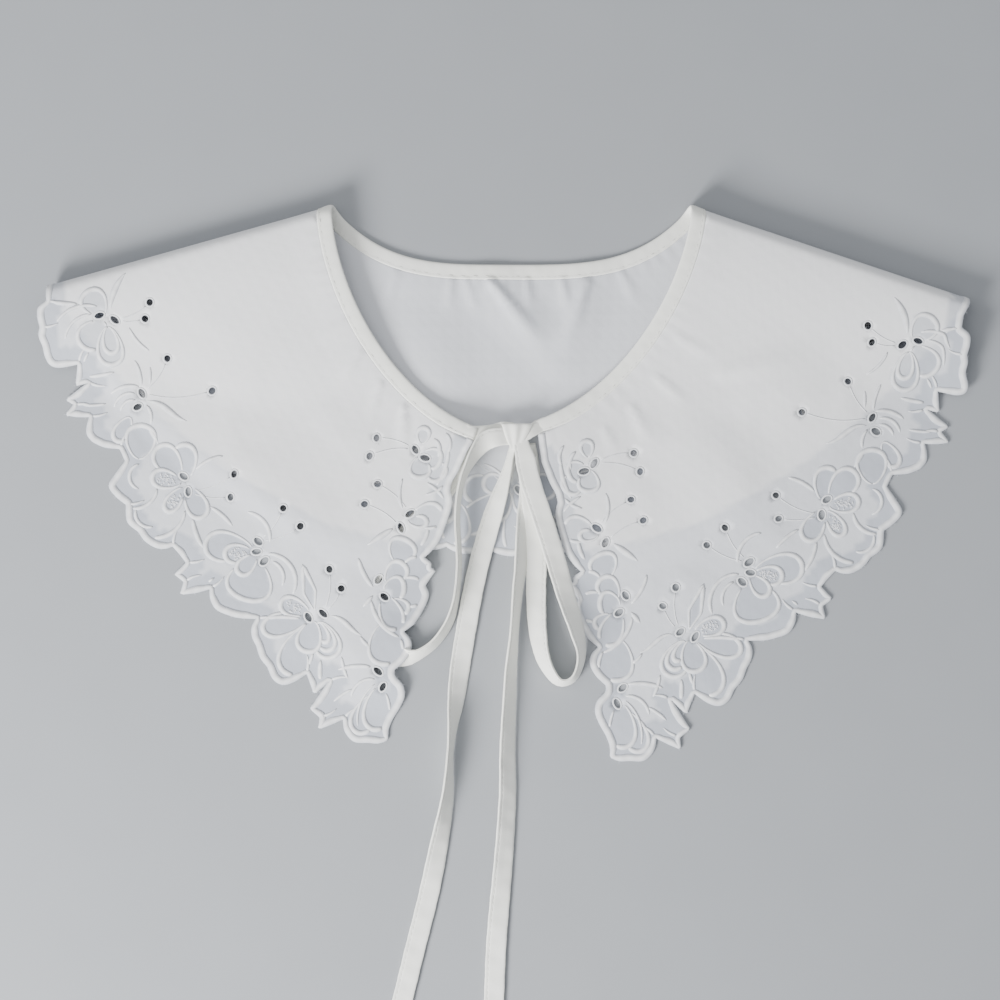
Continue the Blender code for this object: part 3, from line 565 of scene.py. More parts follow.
def cockles(plan):
    """The faint waves that pressed cloth keeps."""
    height = np.zeros(len(plan))
    for degrees, length, phase, top in COCKLES:
        angle = math.radians(degrees)
        ahead = plan[:, 0] * math.cos(angle) + plan[:, 1] * math.sin(angle)
        beside = plan[:, 1] * math.cos(angle) - plan[:, 0] * math.sin(angle)
        height += top * np.sin(2.0 * math.pi * ahead / length + phase + 1.3 * np.sin(3.7 * beside / length))
    return height


def back_hem_depth(x):
    """How far down the back panel reaches under its lobes, at a distance from the centre line."""
    line = np.array(BACK_HEM)
    return np.interp(np.abs(x), line[:, 0], line[:, 1], right=0.0)


def back_height(plan):
    """Middle of the back panel's wall over the table."""
    free = ease((BACK_FREE_DOWN_TO + plan[:, 1]) / 20.0) * ease((BACK_FREE_OUT_TO - np.abs(plan[:, 0])) / 14.0)
    return 0.5 * WALL + free * (ridges(plan, BACK_RIDGES) + gathers(plan, BACK_GATHERS))


def front_height(side, plan, reach, depth):
    """Middle of a front's wall over the table."""
    back_reach = back_hem_depth(plan[:, 0]) + BACK_LOBE_DEPTH
    covered = ease((back_reach + OVERHANG_STEP + plan[:, 1]) / OVERHANG_STEP)
    rest = 0.5 * WALL + BACK_TOP_CLEARANCE * covered + RIDGES_SHOW_THROUGH * ridges(plan, BACK_RIDGES)
    rest = rest + ridges(plan, FRONT_RIDGES) + gathers(plan, FRONT_GATHERS) + np.maximum(0.0, cockles(plan))
    from_knot = np.linalg.norm(plan - [side * FRONT_NECK_END, KNOT_LIFT_Y], axis=1)
    rest = rest + KNOT_LIFT * np.exp(-(from_knot / KNOT_LIFT_SPREAD) ** 2)
    if side < 0:
        from_loop = distance_to_path(plan, np.array(LEFT_LOOP)[LOOP_GOES_UNDER:, :2])
        rest = rest + LOOP_LIFT * ease(1.0 - (from_loop - LOOP_LIFT_TOP) / (2.0 * LOOP_LIFT_SPREAD))
    top = 0.5 * WALL + 2.0 * FOLD_RADIUS
    settle = SETTLE_END + (SETTLE_NECK - SETTLE_END) * ease(1.0 - reach / SETTLE_REACH)
    fall = 1.0 - ease((depth - FOLD_RADIUS) / settle)
    return rest + (top - rest) * fall


def neck_line(step):
    """The neck edge in the flat cut, from the left front's end round the back to the right front's end."""
    halves = {}
    for side in (-1, 1):
        shares = np.linspace(0.0, 1.0, 200)
        b = FRONT_NECK_DEPTH * shares
        a = NECK_HALF_WIDTH * (1.0 - shares ** FRONT_NECK_POWER) ** (1.0 / FRONT_NECK_POWER)
        kept = a >= FRONT_NECK_END
        halves[side] = plan_to_flat(side, side_to_plan(side, np.column_stack([a, b])[kept], NECK_SET))
    x = np.linspace(-NECK_HALF_WIDTH + NECK_CORNER_GAP, NECK_HALF_WIDTH - NECK_CORNER_GAP, 200)
    back = np.column_stack([x, -BACK_NECK_DEPTH * (1.0 - np.abs(x / NECK_HALF_WIDTH) ** BACK_NECK_POWER)])
    whole = np.vstack([halves[-1][::-1], back, halves[1]])
    whole = whole[np.insert(np.linalg.norm(np.diff(whole, axis=0), axis=1) > 0.05, 0, True)]
    return evenly(softened(evenly(whole, 2.0), 3), step)


NECK_COARSE = neck_line(6.0)
NECK_GONE = lengths_along(NECK_COARSE)


def neck_effects(flat):
    """The wall's lift by the thicker binding, and the small puckers that its seam pulls into the cloth."""
    nearest = np.full(len(flat), FAR)
    gone = np.zeros(len(flat))
    for i in range(len(NECK_COARSE) - 1):
        away, share = distance_to_line(flat, NECK_COARSE[i], NECK_COARSE[i + 1])
        closer = away < nearest
        nearest[closer] = away[closer]
        gone[closer] = NECK_GONE[i] + share[closer] * (NECK_GONE[i + 1] - NECK_GONE[i])
    rise = NECK_EDGE_RISE * ease(1.0 - (nearest - BINDING_WIDTH - 2.0) / (2.0 * BINDING_WIDTH))
    uneven = 0.55 + 0.45 * np.sin(gone / 19.0 + 1.0) * np.sin(gone / 7.7)
    wave = np.sin(2.0 * math.pi * gone / PUCKER_LENGTH + 2.2 * np.sin(gone / 13.0))
    spread = np.exp(-((nearest - BINDING_WIDTH - 1.0) / PUCKER_REACH) ** 2) * (nearest > BINDING_WIDTH - 1.5)
    return rise + PUCKER_HEIGHT * uneven * (1.0 + wave) * spread


def cloth_middle(flat):
    """The laid collar's middle surface at places of its flat cut, in the plan."""
    flat = np.asarray(flat, float)
    placed = np.zeros((len(flat), 3))
    for side in (-1, 1):
        mine = flat[:, 0] * side >= 0.0
        corner, along, inwards = fold_axes(side)
        reach = (flat - corner) @ along
        beyond = -((flat - corner) @ inwards)
        turn = (beyond + FOLD_RADIUS) / FOLD_RADIUS
        back = mine & (turn <= 0.0)
        front = mine & (turn >= math.pi)
        bend = mine & ~back & ~front
        placed[back, :2] = flat[back]
        placed[back, 2] = back_height(flat[back])
        depth = beyond - (math.pi - 2.0) * FOLD_RADIUS
        plan = corner + np.outer(reach, along) + np.outer(depth, inwards)
        placed[front, :2] = plan[front]
        placed[front, 2] = front_height(side, plan[front], reach[front], depth[front])
        bend_depth = FOLD_RADIUS * (1.0 - np.sin(turn))
        bend_plan = corner + np.outer(reach, along) + np.outer(bend_depth, inwards)
        rise = 0.5 * WALL + FOLD_RADIUS * (1.0 - np.cos(turn))
        placed[bend, :2] = bend_plan[bend]
        placed[bend, 2] = rise[bend]
    placed[:, 2] += neck_effects(flat)
    return placed


def cloth_normals(flat, step=0.2):
    """Unit normals of the laid surface, on the side that faces up on the back panel."""
    across = cloth_middle(flat + [step, 0.0]) - cloth_middle(flat - [step, 0.0])
    up = cloth_middle(flat + [0.0, step]) - cloth_middle(flat - [0.0, step])
    normals = np.cross(across, up)
    return normals / np.linalg.norm(normals, axis=1)[:, None]


def on_front(flat):
    """Which places lie past a shoulder fold's top, so that the cloth's right side faces up there."""
    result = np.zeros(len(flat), bool)
    for side in (-1, 1):
        corner, _, inwards = fold_axes(side)
        past_fold = -((flat - corner) @ inwards) > (0.5 * math.pi - 1.0) * FOLD_RADIUS
        result |= past_fold & (flat[:, 0] * side >= 0.0)
    return result


# The scalloped hem

def petal(bearing, start, reach, width, tip, count=40):
    """A petal's outline: a drop with a round or a pointed end."""
    turn = np.arange(count) * 2.0 * math.pi / count
    share = 0.5 * (1.0 - np.cos(turn))
    round_half = np.sin(turn) * (0.62 + 0.5 * share)
    sharp_half = np.sign(np.sin(turn)) * np.minimum(share / 0.42, (1.0 - share) / 0.58) ** 0.9
    half = 0.5 * width * (round_half if tip else sharp_half)
    along = start + (reach - start) * share
    return turned(np.column_stack([along, half]), bearing)


def scalloped(rows, step):
    """A line through the rows that bends smoothly at some of them and turns sharply at the others."""
    stretches = []
    first = 0
    for last in range(1, len(rows)):
        if rows[last][2]:
            stretches.append(smooth_line([row[:2] for row in rows[first:last + 1]], step)[:-1])
            first = last
    return np.vstack(stretches + [[rows[-1][:2]]])


def back_hem(step):
    """The back panel's hem from the centre outwards, with a shallow lobe over each stretch of its line."""
    line = evenly(smooth_line(BACK_HEM, step), step)
    gone = np.arange(len(line)) * step
    bulge = BACK_LOBE_DEPTH * np.abs(np.cos(math.pi * gone / BACK_LOBE)) ** 0.6
    fade = ease((gone[-1] - gone) / 6.0)
    return line + left_normals(line) * (bulge * fade)[:, None]


def hem_outline():
    """The scalloped hem in the flat cut, from the right front's neck end round to the left front's."""
    runs = []
    for side in (1, -1):
        front = front_to_flat(side, scalloped(FRONT_HEM, HEM_STEP))
        back = back_to_flat(side, back_hem(HEM_STEP))
        run = np.vstack([front[::-1], back[::-1]])
        runs.append(run if side > 0 else run[::-1])
    return evenly(np.vstack([runs[0], runs[1][1:]]), HEM_STEP)


HEM = hem_outline()
HEM_COARSE = simplified(HEM, 0.12)
NECK_BODY_EDGE = offset_line(neck_line(NECK_STEP), BINDING_WIDTH - BINDING_OVERLAP)
OUTLINE = np.vstack([NECK_BODY_EDGE, simplified(HEM, HEM_TOLERANCE)])


# Materials

def hex_colour(code):
    """A colour written as sRGB hex, in linear light with full alpha."""
    parts = [int(code[i:i + 2], 16) / 255.0 for i in (1, 3, 5)]
    linear = [c / 12.92 if c <= 0.04045 else ((c + 0.055) / 1.055) ** 2.4 for c in parts]
    return (*linear, 1.0)


def add_node(tree, kind, settings=None, links=None):
    """A node with its settings, and its sockets given values or linked from other nodes' outputs."""
    node = tree.nodes.new(kind)
    for name, value in (settings or {}).items():
        setattr(node, name, value)
    for socket, value in (links or {}).items():
        if isinstance(value, bpy.types.NodeSocket):
            tree.links.new(value, node.inputs[socket])
        else:
            node.inputs[socket].default_value = value
    return node


def new_material(name, roughness, sheen):
    """A cloth material's tree and its shader."""
    material = bpy.data.materials.new(name)
    material.use_nodes = True
    tree = material.node_tree
    shader = tree.nodes["Principled BSDF"]
    shader.inputs["Roughness"].default_value = roughness
    shader.inputs["Metallic"].default_value = 0.0
    shader.inputs["Sheen Weight"].default_value = sheen
    shader.inputs["Sheen Roughness"].default_value = 0.4
    return material, tree, shader


def mixed_colour(tree, factor, first, second, blend="MIX"):
    """Two colours mixed by a factor, each of them a hex code or another node's output."""
    first, second = (hex_colour(colour) if isinstance(colour, str) else colour for colour in (first, second))
    mix = add_node(tree, "ShaderNodeMix", {"data_type": "RGBA", "blend_type": blend},
                   {0: factor, 6: first, 7: second})
    return mix.outputs[2]


def noise(tree, coordinates, scale, detail=2.0):
    """A cloudy pattern's output."""
    values = {"Vector": coordinates, "Scale": scale, "Detail": detail}
    return add_node(tree, "ShaderNodeTexNoise", links=values).outputs["Fac"]


def stripes(tree, coordinates, axis, scale, distortion, detail, detail_scale):
    """The output of straight stripes that waver a little, for threads."""
    values = {"Vector": coordinates, "Scale": scale, "Distortion": distortion, "Detail": detail,
              "Detail Scale": detail_scale}
    settings = {"wave_type": "BANDS", "bands_direction": axis}
    return add_node(tree, "ShaderNodeTexWave", settings, values).outputs["Fac"]


def add_bump(tree, shader, height, strength, distance):
    """Relief in the shader's normal, from a height that another node gives."""
    bump = add_node(tree, "ShaderNodeBump",
                    links={"Height": height, "Strength": strength, "Distance": distance})
    tree.links.new(bump.outputs["Normal"], shader.inputs["Normal"])


def weave_height(tree, coordinates, turn=0.0):
    """Over-and-under threads as a height, from two crossed wave patterns."""
    mapping = add_node(tree, "ShaderNodeMapping", links={"Vector": coordinates, "Rotation": (0.0, 0.0, turn)})
    warp, weft = (stripes(tree, mapping.outputs["Vector"], axis, THREADS_PER_METRE / 20.0, 0.35, 1.0, 40.0)
                  for axis in ("X", "Y"))
    return add_node(tree, "ShaderNodeMath", {"operation": "MAXIMUM"}, {0: warp, 1: weft}).outputs[0]


def plain_weave_material():
    """Bleached cotton blend in plain weave: matt and greyer where it is a single layer; the same tint darkens
    the whole back panel as painted shade in the neck opening, and the petals carry painted shade of their sunk
    ground.
    """
    material, tree, shader = new_material("bleached_plain_weave", 0.88, 0.08)
    uv = add_node(tree, "ShaderNodeUVMap", {"uv_map": "cut"})
    layers = add_node(tree, "ShaderNodeAttribute", {"attribute_name": "single_layer_and_shade"})
    petals = add_node(tree, "ShaderNodeAttribute", {"attribute_name": "painted_petal_shade"})
    # Painted shade: the single-layer tint is also the back panel's darker, cooler tone. It stands in for the
    # panel's shade in the neck opening as well as for a thin layer's greyer look.
    lower = mixed_colour(tree, layers.outputs["Fac"], "#f0f0f1", "#dadce1")
    # Painted shade: the petals and the cloth near the hem are multiplied darker, for the shade of the petal
    # ground sunk between the satin and the thin embroidered cloth's greyer look
    shaded = mixed_colour(tree, petals.outputs["Fac"], lower, "#dcdfe4", "MULTIPLY")
    tree.links.new(shaded, shader.inputs["Base Color"])
    weave = weave_height(tree, uv.outputs["UV"])
    height = add_node(tree, "ShaderNodeMath", {"operation": "MULTIPLY_ADD"},
                      {0: noise(tree, uv.outputs["UV"], 160.0, 3.0), 1: 3.0, 2: weave})
    add_bump(tree, shader, height.outputs[0], 0.3, 0.12 * MM)
    return material


def satin_stitch_material():
    """Mercerised cotton thread in satin stitch: soft gloss, with the threads lying across each ridge."""
    material, tree, shader = new_material("satin_stitch_thread", 0.6, 0.15)
    uv = add_node(tree, "ShaderNodeUVMap", {"uv_map": "thread"})
    # Real threads lie about 0.35 mm apart; they are drawn 0.7 mm apart so that they show
    threads = stripes(tree, uv.outputs["UV"], "X", 71.0, 0.8, 2.0, 30.0)
    tone = mixed_colour(tree, threads, "#efeeee", "#f8f8f8")
    # The band's edges are painted as a fine grey line: partly the needle holes, partly painted shade of the
    # groove where the satin meets the cloth
    edge = add_node(tree, "ShaderNodeAttribute", {"attribute_name": "stitch_edge_shade"})
    tree.links.new(mixed_colour(tree, edge.outputs["Fac"], tone, "#b4b9c2"), shader.inputs["Base Color"])
    add_bump(tree, shader, threads, 0.5, 0.1 * MM)
    return material


def bias_tape_material():
    """Bias-cut cotton tape, warm white and pressed smooth, with its threads at 45 degrees."""
    material, tree, shader = new_material("bias_cut_tape", 0.8, 0.1)
    uv = add_node(tree, "ShaderNodeUVMap", {"uv_map": "tape"})
    tone = mixed_colour(tree, noise(tree, uv.outputs["UV"], 90.0), "#fbfbf5", "#f6f6ee")
    tree.links.new(tone, shader.inputs["Base Color"])
    add_bump(tree, shader, weave_height(tree, uv.outputs["UV"], math.radians(45.0)), 0.3, 0.1 * MM)
    return material


def seam_thread_material():
    """Polyester sewing thread: thin, smooth and a little glossy."""
    material, tree, shader = new_material("seam_thread", 0.5, 0.1)
    coordinates = add_node(tree, "ShaderNodeTexCoord")
    tone = mixed_colour(tree, noise(tree, coordinates.outputs["Object"], 900.0), "#f0f0ea", "#dddcd4")
    tree.links.new(tone, shader.inputs["Base Color"])
    return material


CLOTH = plain_weave_material()
SATIN = satin_stitch_material()
TAPE = bias_tape_material()
SEAM = seam_thread_material()


# Meshes

# The solids stand with the collar's middle over the origin; the knot's place in the plan gives the same step
KNOT_PLAN = np.array([-0.8, -93.2])
knot_low, knot_high = (np.array(corner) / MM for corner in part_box("bow_knot"))
PLAN_TO_FRAME = np.append((knot_low + knot_high)[:2] / 2.0 - KNOT_PLAN, 0.0)


def in_frame(points):
    """Plan millimetres as metres of the frame."""
    return (np.asarray(points) + PLAN_TO_FRAME) * MM


def make_object(name, points, faces, material, uv_name=None, uv=None, attributes=None):
    """A smooth-shaded object from plan points, with one UV place and any values for each point."""
    mesh = bpy.data.meshes.new(name)
    mesh.from_pydata(in_frame(points).tolist(), [], faces)
    mesh.materials.append(material)
    if uv is not None:
        layer = mesh.uv_layers.new(name=uv_name)
        corners = np.zeros(len(mesh.loops), int)
        mesh.loops.foreach_get("vertex_index", corners)
        layer.data.foreach_set("uv", (np.asarray(uv)[corners] * MM).ravel())
    for attribute, values in (attributes or {}).items():
        store = mesh.attributes.new(attribute, "FLOAT", "POINT")
        store.data.foreach_set("value", np.asarray(values, np.float32))
    mesh.shade_smooth()
    item = bpy.data.objects.new(name, mesh)
    bpy.context.scene.collection.objects.link(item)
    return item


def face_outwards(item):
    """Turn every closed body's faces to point out."""
    shape = bmesh.new()
    shape.from_mesh(item.data)
    bmesh.ops.recalc_face_normals(shape, faces=shape.faces)
    shape.to_mesh(item.data)
    shape.free()


def tube_faces(rings, count, base, closed):
    """Quads between rings of `count` points, with a cap on each end of an open tube."""
    r, i = np.meshgrid(np.arange(rings if closed else rings - 1), np.arange(count), indexing="ij")
    j, following = (i + 1) % count, (r + 1) % rings
    quads = np.stack([r * count + i, r * count + j, following * count + j, following * count + i], axis=-1)
    faces = (quads.reshape(-1, 4) + base).tolist()
    if not closed:
        faces.append(list(range(base + count - 1, base - 1, -1)))
        faces.append(list(range(base + (rings - 1) * count, base + rings * count)))
    return faces


class ClothBands:
    """Raised bands on the cloth, kept as places of the flat cut with a lift, and laid down all at once."""

    def __init__(self):
        self.flat = []
        self.lift = []
        self.uv = []
        self.edge = []
        self.faces = []
        self.total = 0

    def add(self, line, half_width, right_side, wrong_side, sides=8, closed=False):
        """A flat-topped band along a line of evenly spaced flat places, with its half width at each."""
        turn = np.arange(sides) * 2.0 * math.pi / sides
        across = np.sign(np.cos(turn)) * np.abs(np.cos(turn)) ** 0.5
        height = np.sign(np.sin(turn)) * np.abs(np.sin(turn)) ** 0.6
        lift = np.where(height > 0.0, wrong_side, right_side) * height
        fullness = np.clip(half_width / max(half_width.max(), 1e-6), 0.0, 1.0) ** 0.35
        flat = line[:, None] + left_normals(line)[:, None] * (half_width[:, None] * across)[:, :, None]
        gone = lengths_along(line)
        self.flat.append(flat.reshape(-1, 2))
        self.lift.append((fullness[:, None] * lift).ravel())
        self.uv.append(np.stack([np.repeat(gone, sides), (half_width[:, None] * across).ravel()], axis=-1))
        # How near each ring point lies to the band's edge, for the painted shade line along it
        self.edge.append(np.tile(np.clip((np.abs(across) - 0.6) / 0.4, 0.0, 1.0), len(line)))
        self.faces += tube_faces(len(line), sides, self.total, closed)
        self.total += len(line) * sides

    def build(self, name):
        flat = np.vstack(self.flat)
        points = cloth_middle(flat) + cloth_normals(flat) * np.concatenate(self.lift)[:, None]
        # The edge values carry the painted shade line along each band
        values = {"stitch_edge_shade": np.concatenate(self.edge)}
        return make_object(name, points, self.faces, SATIN, "thread", np.vstack(self.uv), values)


# The collar cloth

def heart_places(side):
    """The oval eyelets of one front (-1, 1) or one half of the back panel (-2, 2): a, b, turn."""
    if abs(side) == 1:
        return FRONT_HEARTS
    hearts = []
    for kind, a, b, turn, size in BACK_MOTIFS[0 if side < 0 else 1:]:
        if kind == "open_flower":
            for along, across, spin in BACK_HEARTS:
                middle = turned(np.array([[along, across]]) * size, turn)[0] + [a, b]
                hearts.append((middle[0], middle[1], spin + turn))
    return tuple(hearts)


STRETCHES = (
    (-1, left_front, FRONT_SATELLITES), (1, right_front, FRONT_SATELLITES),
    (-2, left_back, BACK_SATELLITES), (2, right_back, BACK_SATELLITES),
)


def oval(half_length, half_width, turn, count=14):
    """An oval's outline about its own middle."""
    around = np.arange(count) * 2.0 * math.pi / count
    return turned(np.column_stack([half_length * np.cos(around), half_width * np.sin(around)]), turn)


def eyelet_loops():
    """Every eyelet's outline in the flat cut: oval hearts and small round ones, none quite regular."""
    rng = random.Random(7)
    loops = []
    for side, place, satellites in STRETCHES:
        for a, b, turn in heart_places(side):
            shape = oval(HEART_LENGTH * rng.uniform(0.92, 1.08), HEART_WIDTH * rng.uniform(0.9, 1.1), turn)
            loops.append(place(shape + [a, b]))
        for a, b in satellites:
            shape = oval(EYELET_RADIUS * rng.uniform(0.95, 1.1), EYELET_RADIUS * rng.uniform(0.85, 1.0),
                         rng.uniform(0.0, 180.0))
            loops.append(place(shape + [a, b]))
    return loops


EYELETS = eyelet_loops()
EYELET_MIDDLES = np.array([loop.mean(axis=0) for loop in EYELETS])


def fill_points():
    """Grid points of the flat cut away from its edges, with closer rows along the folds and the binding."""
    low_corner, high_corner = OUTLINE.min(axis=0), OUTLINE.max(axis=0)
    columns = np.arange(low_corner[0], high_corner[0], CLOTH_GRID)
    rows = np.arange(low_corner[1], high_corner[1], CLOTH_GRID * 0.87)
    grid = np.array([(x + 0.5 * CLOTH_GRID * (i % 2), y) for i, y in enumerate(rows) for x in columns])
    rows_by_neck = BINDING_WIDTH + np.array(ROWS_BY_BINDING)
    neck = neck_line(NECK_STEP)
    grid = grid[distance_to_loop(grid, NECK_COARSE, 20.0) > rows_by_neck[-1] + 0.8]
    grid = np.vstack([grid] + [offset_line(neck, away) for away in rows_by_neck])
    for side in (-1, 1):
        corner, along, inwards = fold_axes(side)
        beyond = -((grid - corner) @ inwards)
        in_fold = (beyond > -FOLD_RADIUS - 1.0) & (beyond < (math.pi - 1.0) * FOLD_RADIUS + 1.0)
        grid = grid[~(in_fold & (grid[:, 0] * side > 0.0))]
        for row in range(FOLD_ROWS + 1):
            level = -FOLD_RADIUS + math.pi * FOLD_RADIUS * row / FOLD_ROWS
            stops = np.arange(*FOLD_ROW_ENDS, CLOTH_GRID)
            grid = np.vstack([grid, corner + np.outer(stops, along) - level * inwards])
    grid = grid[inside(grid, OUTLINE)]
    edge = np.vstack([OUTLINE, OUTLINE[:1]])
    grid = grid[distance_to_loop(grid, edge, 3.0) > 0.3 * CLOTH_GRID]
    for middle in EYELET_MIDDLES:
        grid = grid[np.linalg.norm(grid - middle, axis=1) > HEART_LENGTH + EYELET_CLEARANCE]
    return grid


def cut_cloth():
    """The cut cloth's flat places and its triangles, all facing one way, with every eyelet left open."""
    places = [OUTLINE]
    edges = [(i, (i + 1) % len(OUTLINE)) for i in range(len(OUTLINE))]
    total = len(OUTLINE)
    for loop in EYELETS:
        edges += [(total + i, total + (i + 1) % len(loop)) for i in range(len(loop))]
        places.append(loop)
        total += len(loop)
    places.append(fill_points())
    made = delaunay_2d_cdt([tuple(p) for p in np.vstack(places)], edges, [], 1, 1e-6)
    flat = np.array([tuple(v) for v in made[0]])
    triangles = np.array([tuple(face) for face in made[2]])
    centres = flat[triangles].mean(axis=1)
    open_faces = np.zeros(len(triangles), bool)
    for loop in EYELETS:
        open_faces |= inside_near(centres, loop)
    triangles = triangles[~open_faces]
    first, second, third = (flat[triangles[:, i]] for i in range(3))
    (x1, y1), (x2, y2) = (second - first).T, (third - first).T
    area = 0.5 * (x1 * y2 - y1 * x2).sum()
    return flat, triangles if area > 0.0 else triangles[:, ::-1], abs(area)


def two_sided(triangles, count):
    """Faces of both sides of a sheet of `count` places, with a wall along each edge."""
    borders = set()
    for first, second, third in triangles.tolist():
        borders.update(((first, second), (second, third), (third, first)))
    walls = [(end, start, count + start, count + end) for start, end in sorted(borders)
             if (end, start) not in borders]
    return triangles.tolist() + (triangles[:, ::-1] + count).tolist() + walls


def petal_shade_mask(flat):
    """Which places lie in a petal or close to the hem, where the cloth is tinted greyer: painted shade of the
    petal ground sunk between the satin, together with the thin embroidered cloth's greyer look.
    """
    petals = distance_to_loop(flat, HEM_COARSE, PETAL_ZONE) < PETAL_ZONE
    for side, place, _ in STRETCHES:
        for outlines, _ in front_flowers() if abs(side) == 1 else back_flowers():
            for outline in outlines:
                petals |= inside_near(flat, place(outline[:, :2]))
    return petals


def build_cloth():
    """The collar's thin cloth, one piece, and the area of its cut."""
    flat, triangles, area = cut_cloth()
    middle = cloth_middle(flat)
    lift = cloth_normals(flat) * CLOTH_HALF_THICKNESS
    past_back = ease((-middle[:, 1] - back_hem_depth(middle[:, 0]) - 1.0) / 2.0)
    # The single-layer value is 1 over the whole back panel, where its darker tint is also painted shade
    single = np.where(on_front(flat), past_back, 1.0)
    # The petal places take the petals' painted shade
    values = {"painted_petal_shade": np.tile(petal_shade_mask(flat), 2), "single_layer_and_shade": np.tile(single, 2)}
    points = np.vstack([middle + lift, middle - lift])
    faces = two_sided(triangles, len(flat))
    return make_object("collar_cloth", points, faces, CLOTH, "cut", np.tile(flat, (2, 1)), values), area


# Embroidery

def petal_band(a, b, row):
    """A petal's outline in side places with its satin's half width, thin at the base and full at the tip."""
    bearing, start, reach, width, kind = row
    outline = petal(bearing, start, reach, width, min(kind, 1))
    share = 0.5 * (1.0 - np.cos(np.arange(len(outline)) * 2.0 * math.pi / len(outline)))
    half = PETAL_BASE_HALF + (PETAL_TIP_HALF - PETAL_BASE_HALF) * share ** 1.4
    return np.column_stack([outline + [a, b], half])


def stroke_band(a, b, row, turn=0.0, size=1.0, count=14):
    """A curved line of satin stitch from beside a flower's middle, in side places, with its half width."""
    bearing, start, heading, length, bend, swing, width = row
    share = np.linspace(0.0, 1.0, count)
    way = np.radians(heading + bend * share + swing * np.sin(math.pi * share))
    step = length / (count - 1)
    x = start * math.cos(math.radians(bearing)) + np.insert(np.cumsum(np.cos(way[:-1]) * step), 0, 0.0)
    y = start * math.sin(math.radians(bearing)) + np.insert(np.cumsum(np.sin(way[:-1]) * step), 0, 0.0)
    fullness = np.maximum(0.0, np.sin(math.pi * share)) ** (0.75 if width >= LEAF_WIDTH else 0.25)
    half = 0.5 * width * np.maximum(0.2 if width >= LEAF_WIDTH else 0.5, fullness)
    return np.column_stack([turned(np.column_stack([x, y]) * size, turn) + [a, b], half])


def front_flowers():
    """A front's flowers in side places: the bands of their petals and of their strokes."""
    return [([petal_band(a, b, row) for row in petals], [stroke_band(a, b, row) for row in strokes])
            for a, b, petals, strokes in FRONT_FLOWERS]


def back_flowers():
    """The same for one half of the back panel."""
    flowers = []
    for kind, a, b, turn, size in BACK_MOTIFS:
        petals = [petal_band(a, b, (bearing + turn, start * size, reach * size, width * size, tip))
                  for bearing, start, reach, width, tip in MOTIFS[kind]]
        strokes = [stroke_band(a, b, row, turn, size) for row in BACK_STROKES.get(kind, ())]
        flowers.append((petals, strokes))
    return flowers


def notch_curls():
    """Satin strokes in side places that run in from the hem's notches towards the nearest heart."""
    rows = np.array(FRONT_HEM)
    hearts = np.array(FRONT_HEARTS)[:, :2]
    curls = []
    last_notch = np.zeros(2)
    for before, here, after in zip(rows[:-2], rows[1:-1], rows[2:]):
        arrive, leave = (here - before)[:2], (after - here)[:2]
        turn = math.degrees(math.atan2(arrive[0] * leave[1] - arrive[1] * leave[0], arrive @ leave))
        if not here[2] or turn > -NOTCH_TURN:
            continue
        to_heart = hearts[np.argmin(np.linalg.norm(hearts - here[:2], axis=1))] - here[:2]
        distance = np.linalg.norm(to_heart)
        if np.linalg.norm(here[:2] - last_notch) < NOTCH_SPACING or here[0] < CURLS_BEYOND:
            continue
        last_notch = here[:2]
        length = min(CURL_LENGTH, 0.5 * distance)
        heading = math.degrees(math.atan2(to_heart[1], to_heart[0]))
        bend = 36.0 if len(curls) % 2 else -36.0
        curl = stroke_band(here[0], here[1], (heading, 0.9, heading - 0.4 * bend, length, bend, 0, 1.6))
        curl[:, 2] = np.linspace(0.85, 0.3, len(curl))
        curls.append(curl)
    return curls


def showing_runs(line, hiders, place, clear_of_hem=2.5):
    """The stretches of a band that nothing on top hides, clear of the hem's border and the eyelets."""
    keep = np.ones(len(line), bool)
    for hider in hiders:
        keep &= ~inside_near(line[:, :2], hider[:, :2])
    flat = place(line[:, :2])
    keep &= inside(flat, OUTLINE) & (distance_to_loop(flat, HEM_COARSE, 4.0) > clear_of_hem)
    gaps = np.linalg.norm(flat[:, None] - EYELET_MIDDLES[None], axis=2).min(axis=1)
    keep &= gaps > HEART_LENGTH + EYELET_CLEARANCE
    laid = np.column_stack([flat, line[:, 2]])
    runs = []
    current = []
    for index, kept in enumerate(keep):
        if kept:
            current.append(laid[index])
        elif current:
            runs.append(current)
            current = []
    if current:
        runs.append(current)
    if len(runs) > 1 and keep[0] and keep[-1] and np.allclose(line[0, :2], line[-1, :2]):
        runs[0] = runs.pop() + runs[0]
    return [np.array(run) for run in runs if len(run) > 3]


def add_satin(bands, run, plump):
    """One flat band of satin stitch, a little narrower at its ends."""
    line = evenly(run, RING_STEP, measured=2)
    if len(line) < 3:
        return
    gone = lengths_along(line[:, :2])
    half = line[:, 2] * (0.6 + 0.4 * ease(np.minimum(gone, gone[-1] - gone) / 1.6))
    right = SATIN_RIGHT_SIDE * plump
    bands.add(line[:, :2], half, right, min(SATIN_WRONG_SIDE, right))


def embroider(bands, flowers, place, plump, first=0):
    """Satin stitch round every petal and along the free strokes of one stretch of hem."""
    for number in range(first, len(flowers)):
        petals, strokes = flowers[number]
        later = [shape for others, _ in flowers[number + 1:] for shape in others]
        for position, outline in enumerate(petals):
            for run in showing_runs(np.vstack([outline, outline[:1]]), petals[position + 1:] + later, place):
                add_satin(bands, run, plump)
        for line in strokes:
            for run in showing_runs(line, later, place):
                add_satin(bands, run, plump)


